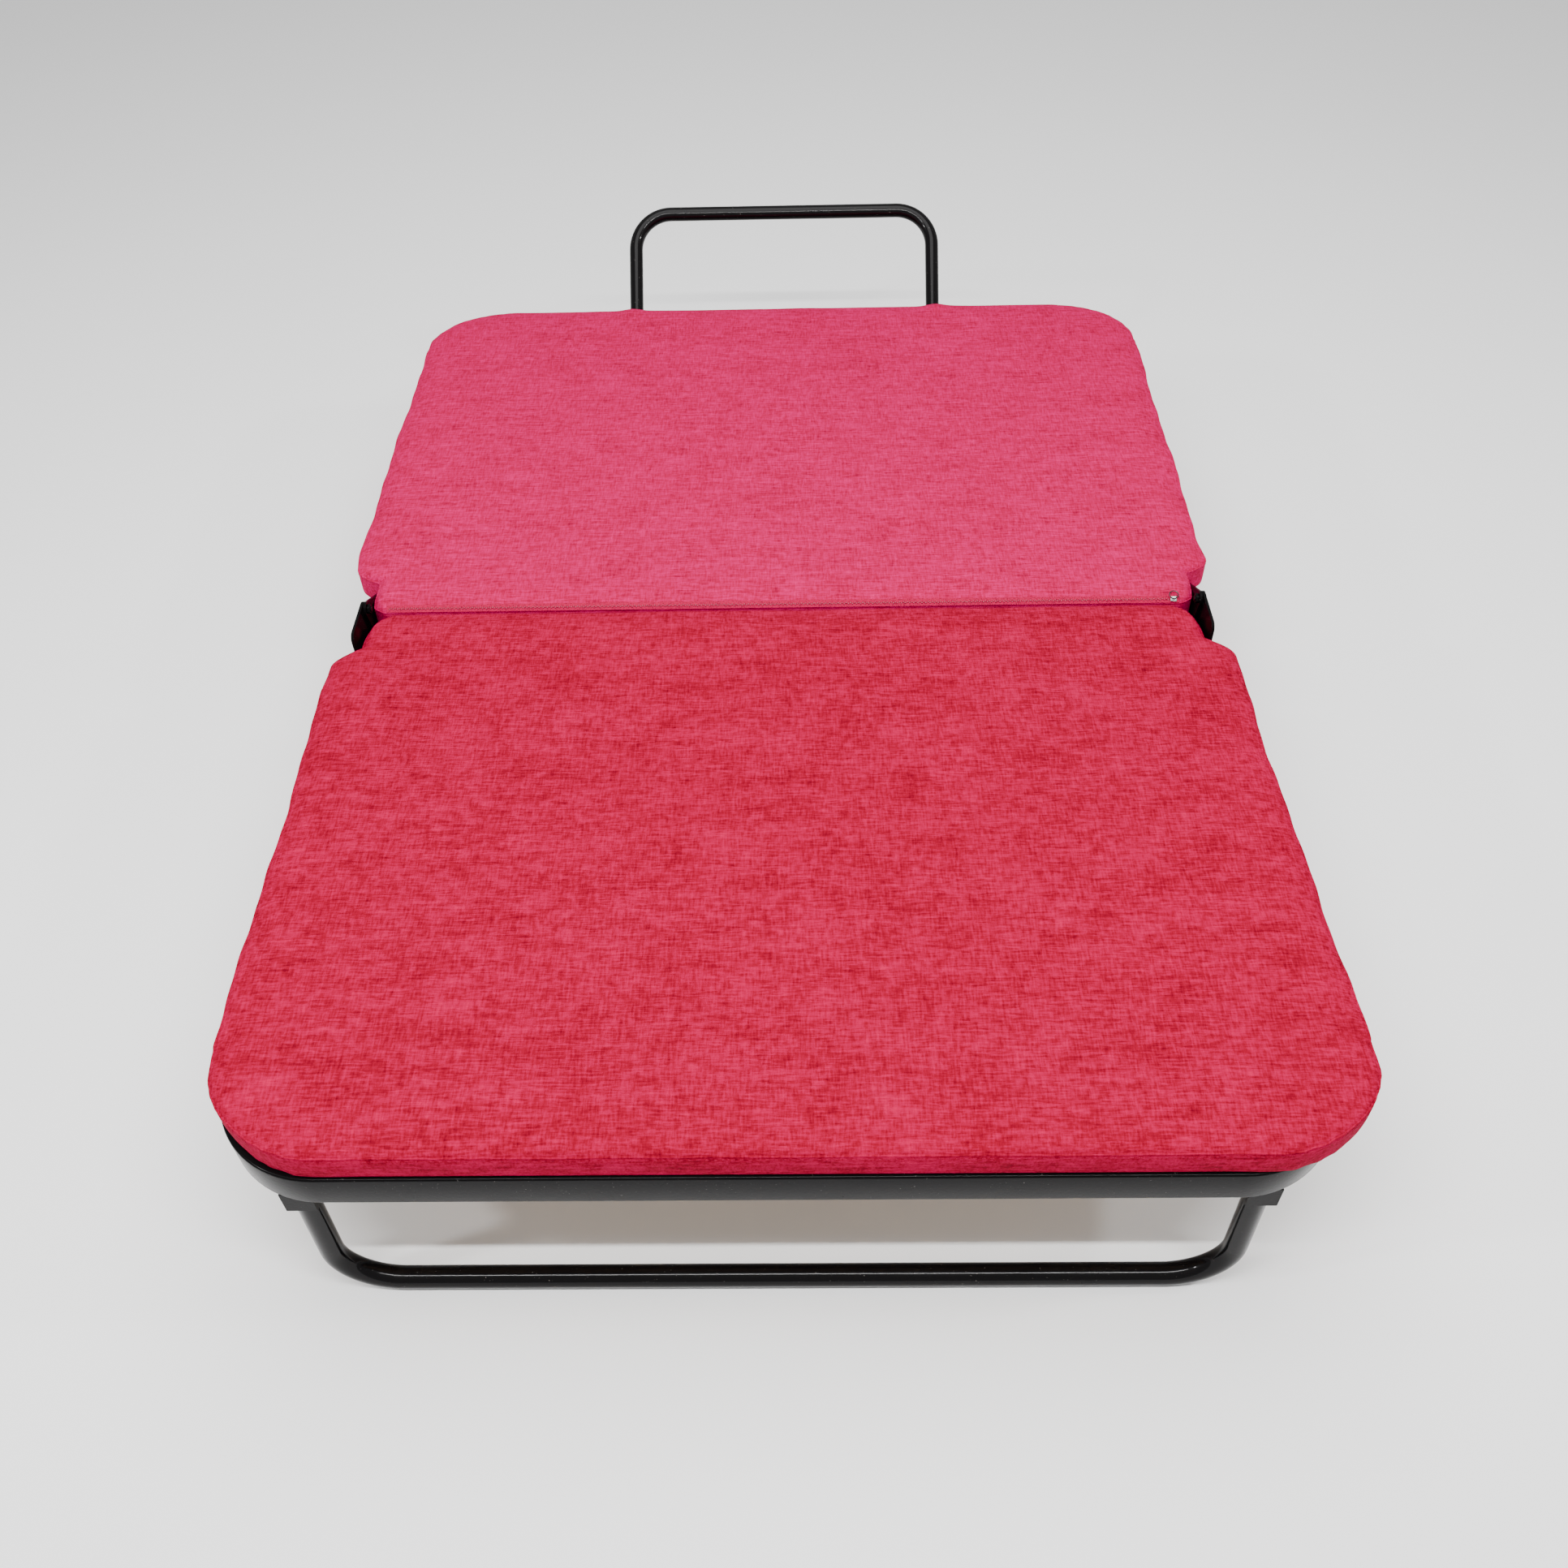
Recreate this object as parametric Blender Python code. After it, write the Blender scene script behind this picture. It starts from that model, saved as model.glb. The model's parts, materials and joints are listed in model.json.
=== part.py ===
"""Folding cot: two padded halves hinged across the middle, three folding U legs, a headrest bar.

Metres, +Z up. X runs across the cot, -Y is the foot end and +Y the head end. The origin is on
the floor, in the middle of the cot's footprint with the headrest bar leaning back.
"""
from math import acos, atan2, cos, hypot, pi, radians, sin, sqrt

import bmesh
import bpy
from mathutils import Matrix, Vector

# Clearances
GAP = 0.0003              # between pieces that touch
BOLT_CLEARANCE = 0.0004   # between a bolt's shank and its hole
SIDE_PLAY = 0.0008        # between a tube and the bracket around it

# Overall sizes
FRAME_WIDTH = 1.260       # outer faces of the side rails
HALF_LENGTH = 0.893       # fold line to the outer face of an end rail
LYING_HEIGHT = 0.345      # floor to the top of the cushions

# Rails: rectangular tube bent round the outer corners
RAIL_HEIGHT = 0.050
RAIL_DEPTH = 0.025
RAIL_WALL = 0.0016
RAIL_EDGE = 0.0025
CORNER_RADIUS = 0.130
CORNER_SEGMENTS = 8

# Fold: gap between the halves, and the plugs in the side rails' open ends
FOLD_GAP = 0.003
CAP_FLANGE = 0.0015
CAP_PLUG = 0.012
CAP_PLAY = 0.0004

# Cross bars and deck
CROSS_BARS = 2
CROSS_BAR_SIZE = 0.025
CROSS_BAR_WALL = 0.0015
CROSS_BAR_EDGE = 0.002
DECK_THICKNESS = 0.009
DECK_PLAY = 0.001

# Cushions
CUSHION_THICKNESS = 0.050
CUSHION_OVERHANG = 0.007  # past the side rails
CUSHION_SETBACK = 0.005   # behind an end rail's outer face
CUSHION_CORNER = 0.125
CUSHION_FOLD_GAP = 0.008
CUSHION_BEVEL = 0.010
PIVOT_RISE = 0.003        # fold axis above the cushions' top

# Hinge plates on the side rails
PLATE_THICKNESS = 0.004
PLATE_INSET = 0.014       # a rail's outer face to the outer plate's outer face
PLATE_REACH = 0.075       # fold line to a plate's far end
PLATE_EAR = 0.011         # radius of the round ear at the pivot
PLATE_CORNER = 0.012
HEAD_PLATE_TAIL = 0.030   # height of a head plate's far end, above the rail
PLATE_CLEARANCE = 0.004   # between a plate and the cushion's notch

# Legs
LEG_TUBE = 0.028
LEG_WALL = 0.0015
LEG_INSET = 0.096         # outer face of a side rail to a leg tube's centre
LEG_BEND = 0.075
LEG_SPLAY = radians(1.5)
LEG_PIVOT_DROP = 0.020    # pivot below the rails
LEG_BRACKET_INSET = 0.010  # end face of the frame to the bracket's web
MIDDLE_BRACKET_INSET = 0.004

# Brackets
BRACKET_WALL = 0.003
LEG_BRACKET_HEIGHT = 0.036
BRACKET_BEHIND = 0.009    # walls past the pivot, away from the web
HEADREST_BRACKET_HEIGHT = 0.036

# Headrest bar
HEADREST_TUBE = 0.0254
HEADREST_WALL = 0.0012
HEADREST_SPREAD = 0.570
HEADREST_LENGTH = 0.230   # pivot to the centre of the top bar
HEADREST_BEND = 0.068
HEADREST_LEAN = radians(43.8)   # rise above level
HEADREST_PIVOT_DROP = 0.020     # pivot below the rails' top

TUBE_SIDES = 12
BEND_SEGMENTS = 6

# Bolts and nuts
BOLT_RADIUS = 0.004
BOLT_HEAD_ACROSS = 0.013  # across the flats
BOLT_HEAD_HEIGHT = 0.005
FLAT_HEAD_HEIGHT = 0.002  # on the hinge bolts
NUT_HEIGHT = 0.0045
BOLT_END = 0.0015         # shank past the nut

# Zip on the head cushion's edge at the fold
TAPE_WIDTH = 0.011
TAPE_THICKNESS = 0.0008
TEETH_WIDTH = 0.0036
TEETH_HEIGHT = 0.0018
ZIP_INSET = 0.014         # tape's ends from the cushion's notches
SLIDER_LENGTH = 0.009
SLIDER_WIDTH = 0.0085
SLIDER_ROOF = 0.0012      # above the teeth
SLIDER_PLAY = 0.0004
EYE_RADIUS = 0.0026
EYE_HOLE = 0.0015
EYE_LENGTH = 0.0024
RING_RADIUS = 0.0064
RING_WIRE = 0.0008
RING_TILT = radians(25)   # down from the bevel's slope, to lie over the cushion's top
RING_SEGMENTS = 16

# Heights
RAIL_TOP = LYING_HEIGHT - CUSHION_THICKNESS - GAP
RAIL_BOTTOM = RAIL_TOP - RAIL_HEIGHT
FOLD_Z = LYING_HEIGHT + PIVOT_RISE
LEG_PIVOT_Z = RAIL_BOTTOM - LEG_PIVOT_DROP
HEADREST_PIVOT_Z = RAIL_TOP - HEADREST_PIVOT_DROP

# Distances from the fold line, and where the fold line lies
RAIL_END = FOLD_GAP / 2 + CAP_FLANGE + GAP
LEG_STAND_OFF = BRACKET_WALL + SIDE_PLAY + LEG_TUBE / 2
END_LEG_Y = HALF_LENGTH - LEG_BRACKET_INSET - LEG_STAND_OFF
MIDDLE_LEG_Y = FOLD_GAP / 2 + MIDDLE_BRACKET_INSET + LEG_STAND_OFF
HEADREST_PIVOT_Y = HALF_LENGTH + GAP + BRACKET_WALL + SIDE_PLAY + HEADREST_TUBE / 2
HEADREST_TIP_Y = (HEADREST_PIVOT_Y + HEADREST_LENGTH * cos(HEADREST_LEAN)
                  + HEADREST_TUBE / 2 * cos(pi / TUBE_SIDES - HEADREST_LEAN % (2 * pi / TUBE_SIDES))
                  / cos(pi / TUBE_SIDES))
FOLD_Y = (HALF_LENGTH - HEADREST_TIP_Y) / 2

# Widths
LEG_SPREAD = FRAME_WIDTH - 2 * LEG_INSET
INSIDE_WIDTH = FRAME_WIDTH - 2 * RAIL_DEPTH
PLATE_MIDDLE_X = FRAME_WIDTH / 2 - PLATE_INSET - PLATE_THICKNESS - GAP / 2
NOTCH_X = (PLATE_MIDDLE_X - GAP / 2 - PLATE_THICKNESS - GAP - NUT_HEIGHT - BOLT_END
           - PLATE_CLEARANCE)
NOTCH_Y = PLATE_REACH + PLATE_CLEARANCE

SIDES = (("left", -1), ("right", 1))
ENDS = (("foot", -1), ("head", 1))


def clear_scene():
    for obj in list(bpy.data.objects):
        bpy.data.objects.remove(obj, do_unlink=True)


def paint(name, color, roughness, metallic=0.0):
    material = bpy.data.materials.new(name)
    material.use_nodes = True
    shader = material.node_tree.nodes["Principled BSDF"]
    shader.inputs["Base Color"].default_value = (*color, 1.0)
    shader.inputs["Roughness"].default_value = roughness
    shader.inputs["Metallic"].default_value = metallic
    return material


def add_object(name, bm, material, matrix=None, parent=None, smooth=30):
    """Make an object from a bmesh; its matrix is in world space even when it has a parent."""
    bmesh.ops.recalc_face_normals(bm, faces=bm.faces)
    mesh = bpy.data.meshes.new(name)
    bm.to_mesh(mesh)
    bm.free()
    mesh.materials.append(material)
    if smooth:
        mesh.shade_smooth()
        mesh.set_sharp_from_angle(angle=radians(smooth))
    obj = bpy.data.objects.new(name, mesh)
    bpy.context.scene.collection.objects.link(obj)
    place(obj, matrix or Matrix.Identity(4), parent)
    return obj


def place(obj, matrix, parent=None):
    if parent:
        obj.parent = parent
        obj.matrix_parent_inverse = Matrix.Identity(4)
        matrix = world_matrix(parent).inverted() @ matrix
    obj.matrix_basis = matrix


def world_matrix(obj):
    if obj.parent:
        return world_matrix(obj.parent) @ obj.matrix_basis
    return obj.matrix_basis


def add_empty(name, position, parent=None):
    empty = bpy.data.objects.new(name, None)
    bpy.context.scene.collection.objects.link(empty)
    place(empty, Matrix.Translation(position), parent)
    return empty


def loft(rings, closed=False):
    """Bridge rings of equal length; the ends are capped, or joined to each other if closed."""
    bm = bmesh.new()
    loops = [[bm.verts.new(point) for point in ring] for ring in rings]
    count = len(loops[0])
    pairs = list(zip(loops, loops[1:] + loops[:1]))
    for first, second in pairs if closed else pairs[:-1]:
        for i in range(count):
            j = (i + 1) % count
            bm.faces.new((first[i], first[j], second[j], second[i]))
    if not closed:
        bm.faces.new(reversed(loops[0]))
        bm.faces.new(loops[-1])
    return bm


def extrude(outline, low, high):
    """A prism over an outline in X and Y, from height low to high."""
    return loft([[Vector((x, y, z)) for x, y in outline] for z in (low, high)])


def arc(center, radius, start, end, segments):
    return [(center[0] + radius * cos(start + (end - start) * i / segments),
             center[1] + radius * sin(start + (end - start) * i / segments))
            for i in range(segments + 1)]


def box_section(across, high, edge):
    """A rectangle with its four edges taken off, counter-clockwise."""
    x, y = across / 2, high / 2
    return [(x, y - edge), (x - edge, y), (edge - x, y), (-x, y - edge),
            (-x, edge - y), (edge - x, -y), (x - edge, -y), (x, edge - y)]


def round_section(radius, sides=TUBE_SIDES):
    """A polygon around a circle, with flats square to both axes."""
    corner = radius / cos(pi / sides)
    return [(corner * cos((i + 0.5) * 2 * pi / sides), corner * sin((i + 0.5) * 2 * pi / sides))
            for i in range(sides)]


def u_path(spread, length, bend, start, segments):
    """Points and directions of a U in X and Y: two arms from y = start, closed at y = length."""
    half = spread / 2
    left = arc((bend - half, length - bend), bend, pi, pi / 2, segments)
    right = arc((half - bend, length - bend), bend, pi / 2, 0, segments)
    turns = [pi / 2 - i * pi / 2 / segments for i in range(segments + 1)]
    stations = [((-half, start), pi / 2)]
    stations += list(zip(left, turns))
    stations += [(point, turn - pi / 2) for point, turn in zip(right, turns)]
    stations += [((half, start), -pi / 2)]
    return [(Vector((x, y, 0)), Vector((cos(a), sin(a), 0))) for (x, y), a in stations]


def sweep(path, section):
    """Rings of a section along a path in X and Y; the section's second axis is Z."""
    up = Vector((0, 0, 1))
    return [[point + direction.cross(up) * a + up * b for a, b in section]
            for point, direction in path]


def round_ends(rings, radius):
    """Cut an arm's two ends round, about the cross axis through y = 0."""
    for ring in (rings[0], rings[-1]):
        for point in ring:
            point.y = -sqrt(max(radius ** 2 - point.z ** 2, 0.0))


def bent_tube(path, outer, inner, end_radius=None):
    """An open-ended tube along a path."""
    outside, inside = sweep(path, outer), sweep(path, inner)
    if end_radius:
        round_ends(outside, end_radius)
        round_ends(inside, end_radius)
    return loft(outside + inside[::-1], closed=True)


def cylinder_x(radius, low, high, sides=TUBE_SIDES):
    return loft([[Vector((x, a, b)) for a, b in round_section(radius, sides)]
                 for x in (low, high)])


def cut(obj, bm, matrix=None):
    """Take a shape out of an object, which keeps a live Boolean modifier."""
    cutter = add_object(f"{obj.name}_cutter", bm, obj.data.materials[0],
                        matrix or world_matrix(obj), smooth=0)
    cutter.hide_render = True
    cutter.display_type = "WIRE"
    modifier = obj.modifiers.new("cut", "BOOLEAN")
    modifier.operation = "DIFFERENCE"
    modifier.solver = "EXACT"
    modifier.object = cutter


def hexagon(across):
    """Twelve points on a hexagon: its corners and the middles of its sides."""
    flat, corner = across / 2, across / 2 / cos(pi / 6)
    return [((flat if i % 2 else corner) * cos(i * pi / 6), (flat if i % 2 else corner) * sin(i * pi / 6))
            for i in range(12)]


def circle(radius):
    return [(radius * cos(i * pi / 6), radius * sin(i * pi / 6)) for i in range(12)]


def add_bolt(name, grip, position, outward, material, parent, head_height=BOLT_HEAD_HEIGHT):
    """A hex bolt and nut along X through a grip centred on position, its head on the outward side."""
    head_face = grip / 2 + GAP
    nut_face = -grip / 2 - GAP
    tip = nut_face - NUT_HEIGHT - BOLT_END
    matrix = Matrix.Translation(position) @ Matrix.Rotation(0 if outward > 0 else pi, 4, "Z")
    stations = [(head_face + head_height, hexagon(BOLT_HEAD_ACROSS)),
                (head_face, hexagon(BOLT_HEAD_ACROSS)),
                (head_face, circle(BOLT_RADIUS)),
                (tip, circle(BOLT_RADIUS))]
    rings = [[Vector((x, a, b)) for a, b in ring] for x, ring in stations]
    add_object(f"{name}_bolt", loft(rings), material, matrix, parent)
    hole = BOLT_RADIUS + BOLT_CLEARANCE
    stations = [(nut_face, hexagon(BOLT_HEAD_ACROSS)), (nut_face - NUT_HEIGHT, hexagon(BOLT_HEAD_ACROSS)),
                (nut_face - NUT_HEIGHT, circle(hole)), (nut_face, circle(hole))]
    rings = [[Vector((x, a, b)) for a, b in ring] for x, ring in stations]
    add_object(f"{name}_nut", loft(rings, closed=True), material, matrix, parent)


def add_bracket(name, tube, heights, position, turn, material, parent):
    """A channel around a tube that pivots along X: a web on its +Y side, two walls with holes."""
    inside = tube / 2 + SIDE_PLAY
    outside = inside + BRACKET_WALL
    outline = [(-outside, -BRACKET_BEHIND), (-inside, -BRACKET_BEHIND), (-inside, inside),
               (inside, inside), (inside, -BRACKET_BEHIND), (outside, -BRACKET_BEHIND),
               (outside, outside), (-outside, outside)]
    matrix = Matrix.Translation(position) @ turn
    bracket = add_object(name, extrude(outline, *heights), material, matrix, parent, smooth=0)
    reach = outside + BRACKET_WALL
    cut(bracket, cylinder_x(BOLT_RADIUS + BOLT_CLEARANCE, -reach, reach))


def add_rail(end, direction, paint_black, parent):
    """The bent rail of one half: an end rail and two side rails that stop at the fold."""
    outer = box_section(RAIL_DEPTH, RAIL_HEIGHT, RAIL_EDGE)
    inner = box_section(RAIL_DEPTH - 2 * RAIL_WALL, RAIL_HEIGHT - 2 * RAIL_WALL, RAIL_EDGE / 2)
    path = u_path(FRAME_WIDTH - RAIL_DEPTH, HALF_LENGTH - RAIL_DEPTH / 2,
                  CORNER_RADIUS - RAIL_DEPTH / 2, RAIL_END, CORNER_SEGMENTS)
    middle = Vector((0, FOLD_Y, (RAIL_TOP + RAIL_BOTTOM) / 2))
    matrix = Matrix.Translation(middle) @ facing(direction)
    add_object(f"{end}_rail", bent_tube(path, outer, inner), paint_black, matrix, parent)


def facing(direction):
    """Turn a shape made for the head half to the foot half."""
    return Matrix.Rotation(0 if direction > 0 else pi, 4, "Z")


def add_rail_caps(end, direction, plastic, parent):
    """The plugs in the open ends of the side rails."""
    plug = RAIL_WALL + CAP_PLAY
    flange = box_section(RAIL_DEPTH, RAIL_HEIGHT, RAIL_EDGE)
    stem = box_section(RAIL_DEPTH - 2 * plug, RAIL_HEIGHT - 2 * plug, RAIL_EDGE / 2)
    inner = FOLD_GAP / 2 + CAP_FLANGE
    stations = [(FOLD_GAP / 2, flange), (inner, flange), (inner, stem), (inner + CAP_PLUG, stem)]
    for side, sign in SIDES:
        rings = [[Vector((a, y, b)) for a, b in ring] for y, ring in stations]
        middle = Vector((sign * (FRAME_WIDTH - RAIL_DEPTH) / 2, FOLD_Y, (RAIL_TOP + RAIL_BOTTOM) / 2))
        matrix = Matrix.Translation(middle) @ facing(direction)
        add_object(f"{end}_rail_cap_{side}", loft(rings), plastic, matrix, parent, smooth=0)


def straight_tube_x(length, outer, inner):
    path = [(Vector((x, 0, 0)), Vector((1, 0, 0))) for x in (-length / 2, length / 2)]
    return bent_tube(path, outer, inner)


def add_fold_bar(end, direction, paint_black, parent):
    """The bar that closes a half at the fold, of the rails' own tube."""
    outer = box_section(RAIL_DEPTH, RAIL_HEIGHT, RAIL_EDGE)
    inner = box_section(RAIL_DEPTH - 2 * RAIL_WALL, RAIL_HEIGHT - 2 * RAIL_WALL, RAIL_EDGE / 2)
    y = FOLD_Y + direction * (FOLD_GAP + RAIL_DEPTH) / 2
    matrix = Matrix.Translation((0, y, (RAIL_TOP + RAIL_BOTTOM) / 2))
    tube = straight_tube_x(INSIDE_WIDTH - 2 * GAP, outer, inner)
    add_object(f"{end}_fold_bar", tube, paint_black, matrix, parent)


def add_cross_bars(end, direction, paint_black, parent):
    """The square bars under the deck, evenly spaced between the fold bar and the end rail."""
    outer = box_section(CROSS_BAR_SIZE, CROSS_BAR_SIZE, CROSS_BAR_EDGE)
    hollow = CROSS_BAR_SIZE - 2 * CROSS_BAR_WALL
    inner = box_section(hollow, hollow, CROSS_BAR_EDGE / 2)
    first = FOLD_GAP / 2 + RAIL_DEPTH
    clear = HALF_LENGTH - RAIL_DEPTH - first
    z = RAIL_TOP - DECK_THICKNESS - GAP - CROSS_BAR_SIZE / 2
    for number in range(1, CROSS_BARS + 1):
        y = FOLD_Y + direction * (first + clear * number / (CROSS_BARS + 1))
        tube = straight_tube_x(INSIDE_WIDTH - 2 * GAP, outer, inner)
        add_object(f"{end}_cross_bar_{number}", tube, paint_black, Matrix.Translation((0, y, z)), parent)


def add_deck(end, direction, plywood, parent):
    """The board between the rails, flush with their top, rounded to the bent corners."""
    half = INSIDE_WIDTH / 2 - DECK_PLAY
    near = FOLD_GAP / 2 + RAIL_DEPTH + DECK_PLAY
    far = HALF_LENGTH - RAIL_DEPTH - DECK_PLAY
    radius = CORNER_RADIUS - RAIL_DEPTH - DECK_PLAY
    outline = [(-half, near), (half, near)]
    outline += arc((half - radius, far - radius), radius, 0, pi / 2, CORNER_SEGMENTS)
    outline += arc((radius - half, far - radius), radius, pi / 2, pi, CORNER_SEGMENTS)
    matrix = Matrix.Translation((0, FOLD_Y, RAIL_TOP)) @ facing(direction)
    add_object(f"{end}_deck", extrude(outline, -DECK_THICKNESS, 0), plywood, matrix, parent, smooth=0)


def add_cushion(end, direction, fabric, parent):
    """A flat cushion with round outer corners, notched at the fold to clear the hinge plates."""
    half = FRAME_WIDTH / 2 + CUSHION_OVERHANG
    near = CUSHION_FOLD_GAP / 2
    far = HALF_LENGTH - CUSHION_SETBACK
    radius = CUSHION_CORNER
    outline = [(-NOTCH_X, near), (NOTCH_X, near), (NOTCH_X, NOTCH_Y), (half, NOTCH_Y)]
    outline += arc((half - radius, far - radius), radius, 0, pi / 2, CORNER_SEGMENTS)
    outline += arc((radius - half, far - radius), radius, pi / 2, pi, CORNER_SEGMENTS)
    outline += [(-half, NOTCH_Y), (-NOTCH_X, NOTCH_Y)]
    bm = extrude(outline, 0, CUSHION_THICKNESS)
    bmesh.ops.recalc_face_normals(bm, faces=bm.faces)
    rims = [edge for edge in bm.edges if abs(edge.verts[0].co.z - edge.verts[1].co.z) < GAP]
    bmesh.ops.bevel(bm, geom=rims, offset=CUSHION_BEVEL, segments=1, affect="EDGES")
    matrix = Matrix.Translation((0, FOLD_Y, LYING_HEIGHT - CUSHION_THICKNESS)) @ facing(direction)
    add_object(f"{end}_cushion", bm, fabric, matrix, parent)


def plate_outline(tail):
    """A plate on the +Y side, in Y and Z about the pivot: its far end is tail high above the rail.

    One straight edge is tangent to the far corner and the ear, and one runs from the ear to the heel.
    """
    base = RAIL_TOP + GAP - FOLD_Z
    heel = RAIL_END
    corner = (PLATE_REACH - PLATE_CORNER, base + tail - PLATE_CORNER)
    ear_start = atan2(corner[1], corner[0]) + acos((PLATE_EAR - PLATE_CORNER) / hypot(*corner))
    ear_end = 2 * pi + atan2(base, heel) - acos(PLATE_EAR / hypot(base, heel))
    outline = [(heel, base), (PLATE_REACH, base)]
    outline += arc(corner, PLATE_CORNER, 0, ear_start, 4)
    outline += arc((0, 0), PLATE_EAR, ear_start, ear_end, 8)
    return outline


def add_hinge_plates(end, direction, paint_black, parent):
    """Two upright plates; the foot half's are outside with a level top, the head half's slope down."""
    offset = -direction * (PLATE_THICKNESS + GAP) / 2
    level = FOLD_Z + PLATE_EAR - RAIL_TOP - GAP
    tail = HEAD_PLATE_TAIL if end == "head" else level
    prism_to_plate = Matrix(((0, 0, 1, 0), (1, 0, 0, 0), (0, 1, 0, 0), (0, 0, 0, 1)))
    for side, sign in SIDES:
        x = sign * (PLATE_MIDDLE_X + offset)
        outline = [(direction * y, z) for y, z in plate_outline(tail)]
        bm = extrude(outline, -PLATE_THICKNESS / 2, PLATE_THICKNESS / 2)
        matrix = Matrix.Translation((x, FOLD_Y, FOLD_Z)) @ prism_to_plate
        plate = add_object(f"{end}_hinge_plate_{side}", bm, paint_black, matrix, parent)
        cutter = cylinder_x(BOLT_RADIUS + BOLT_CLEARANCE, -PLATE_THICKNESS, PLATE_THICKNESS)
        cut(plate, cutter, Matrix.Translation((x, FOLD_Y, FOLD_Z)))


def add_hinge_bolts(steel, parent):
    grip = 2 * PLATE_THICKNESS + GAP
    for side, sign in SIDES:
        position = Vector((sign * PLATE_MIDDLE_X, FOLD_Y, FOLD_Z))
        add_bolt(f"hinge_{side}", grip, position, sign, steel, parent, FLAT_HEAD_HEIGHT)


def leg_length():
    """Pivot to the centre of the foot bar, so that the splayed bar's lowest edge is on the floor."""
    step = pi / TUBE_SIDES
    below = LEG_TUBE / 2 * cos(step - LEG_SPLAY) / cos(step)
    return (LEG_PIVOT_Z - below) / cos(LEG_SPLAY)


def add_leg(name, y, outward, paint_black, steel, parent):
    """A U leg, with a bracket, a bolt and a nut at each arm; outward is the side of its stop."""
    outer, inner = round_section(LEG_TUBE / 2), round_section(LEG_TUBE / 2 - LEG_WALL)
    path = u_path(LEG_SPREAD, leg_length(), LEG_BEND, -LEG_TUBE / 2, BEND_SEGMENTS)
    pivot = Vector((0, FOLD_Y + y, LEG_PIVOT_Z))
    axis = add_empty(f"{name}_axis", pivot, parent)
    down = Matrix.Rotation(-pi / 2 + outward * LEG_SPLAY, 4, "X")
    tube = bent_tube(path, outer, inner, LEG_TUBE / 2)
    leg = add_object(name, tube, paint_black, Matrix.Translation(pivot) @ down, axis)
    reach = LEG_SPREAD / 2 + LEG_TUBE
    cut(leg, cylinder_x(BOLT_RADIUS + BOLT_CLEARANCE, -reach, reach))
    top = LEG_PIVOT_DROP - GAP
    for side, sign in SIDES:
        position = pivot + Vector((sign * LEG_SPREAD / 2, 0, 0))
        add_bracket(f"{name}_bracket_{side}", LEG_TUBE, (top - LEG_BRACKET_HEIGHT, top),
                    position, facing(outward), paint_black, parent)
        grip = LEG_TUBE + 2 * (SIDE_PLAY + BRACKET_WALL)
        add_bolt(f"{name}_{side}", grip, position, sign, steel, parent)


def add_headrest(paint_black, steel, parent):
    """The U bar at the head end, leaning back in brackets on the end rail's outer face."""
    outer = round_section(HEADREST_TUBE / 2)
    inner = round_section(HEADREST_TUBE / 2 - HEADREST_WALL)
    path = u_path(HEADREST_SPREAD, HEADREST_LENGTH, HEADREST_BEND, -HEADREST_TUBE / 2, BEND_SEGMENTS)
    pivot = Vector((0, FOLD_Y + HEADREST_PIVOT_Y, HEADREST_PIVOT_Z))
    axis = add_empty("headrest_axis", pivot, parent)
    lean = Matrix.Rotation(HEADREST_LEAN, 4, "X")
    tube = bent_tube(path, outer, inner, HEADREST_TUBE / 2)
    bar = add_object("headrest_bar", tube, paint_black, Matrix.Translation(pivot) @ lean, axis)
    reach = HEADREST_SPREAD / 2 + HEADREST_TUBE
    cut(bar, cylinder_x(BOLT_RADIUS + BOLT_CLEARANCE, -reach, reach))
    high = HEADREST_BRACKET_HEIGHT / 2
    for side, sign in SIDES:
        position = pivot + Vector((sign * HEADREST_SPREAD / 2, 0, 0))
        add_bracket(f"headrest_bracket_{side}", HEADREST_TUBE, (-high, high), position,
                    facing(-1), paint_black, parent)
        grip = HEADREST_TUBE + 2 * (SIDE_PLAY + BRACKET_WALL)
        add_bolt(f"headrest_{side}", grip, position, sign, steel, parent)


def zip_frame(x):
    """The zip's own axes at x: X along it, Y up the cushion's bevelled edge, Z out of the bevel."""
    middle = Vector((x, FOLD_Y + CUSHION_FOLD_GAP / 2 + CUSHION_BEVEL / 2,
                     LYING_HEIGHT - CUSHION_BEVEL / 2))
    return Matrix.Translation(middle) @ Matrix.Rotation(pi / 4, 4, "X")


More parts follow.
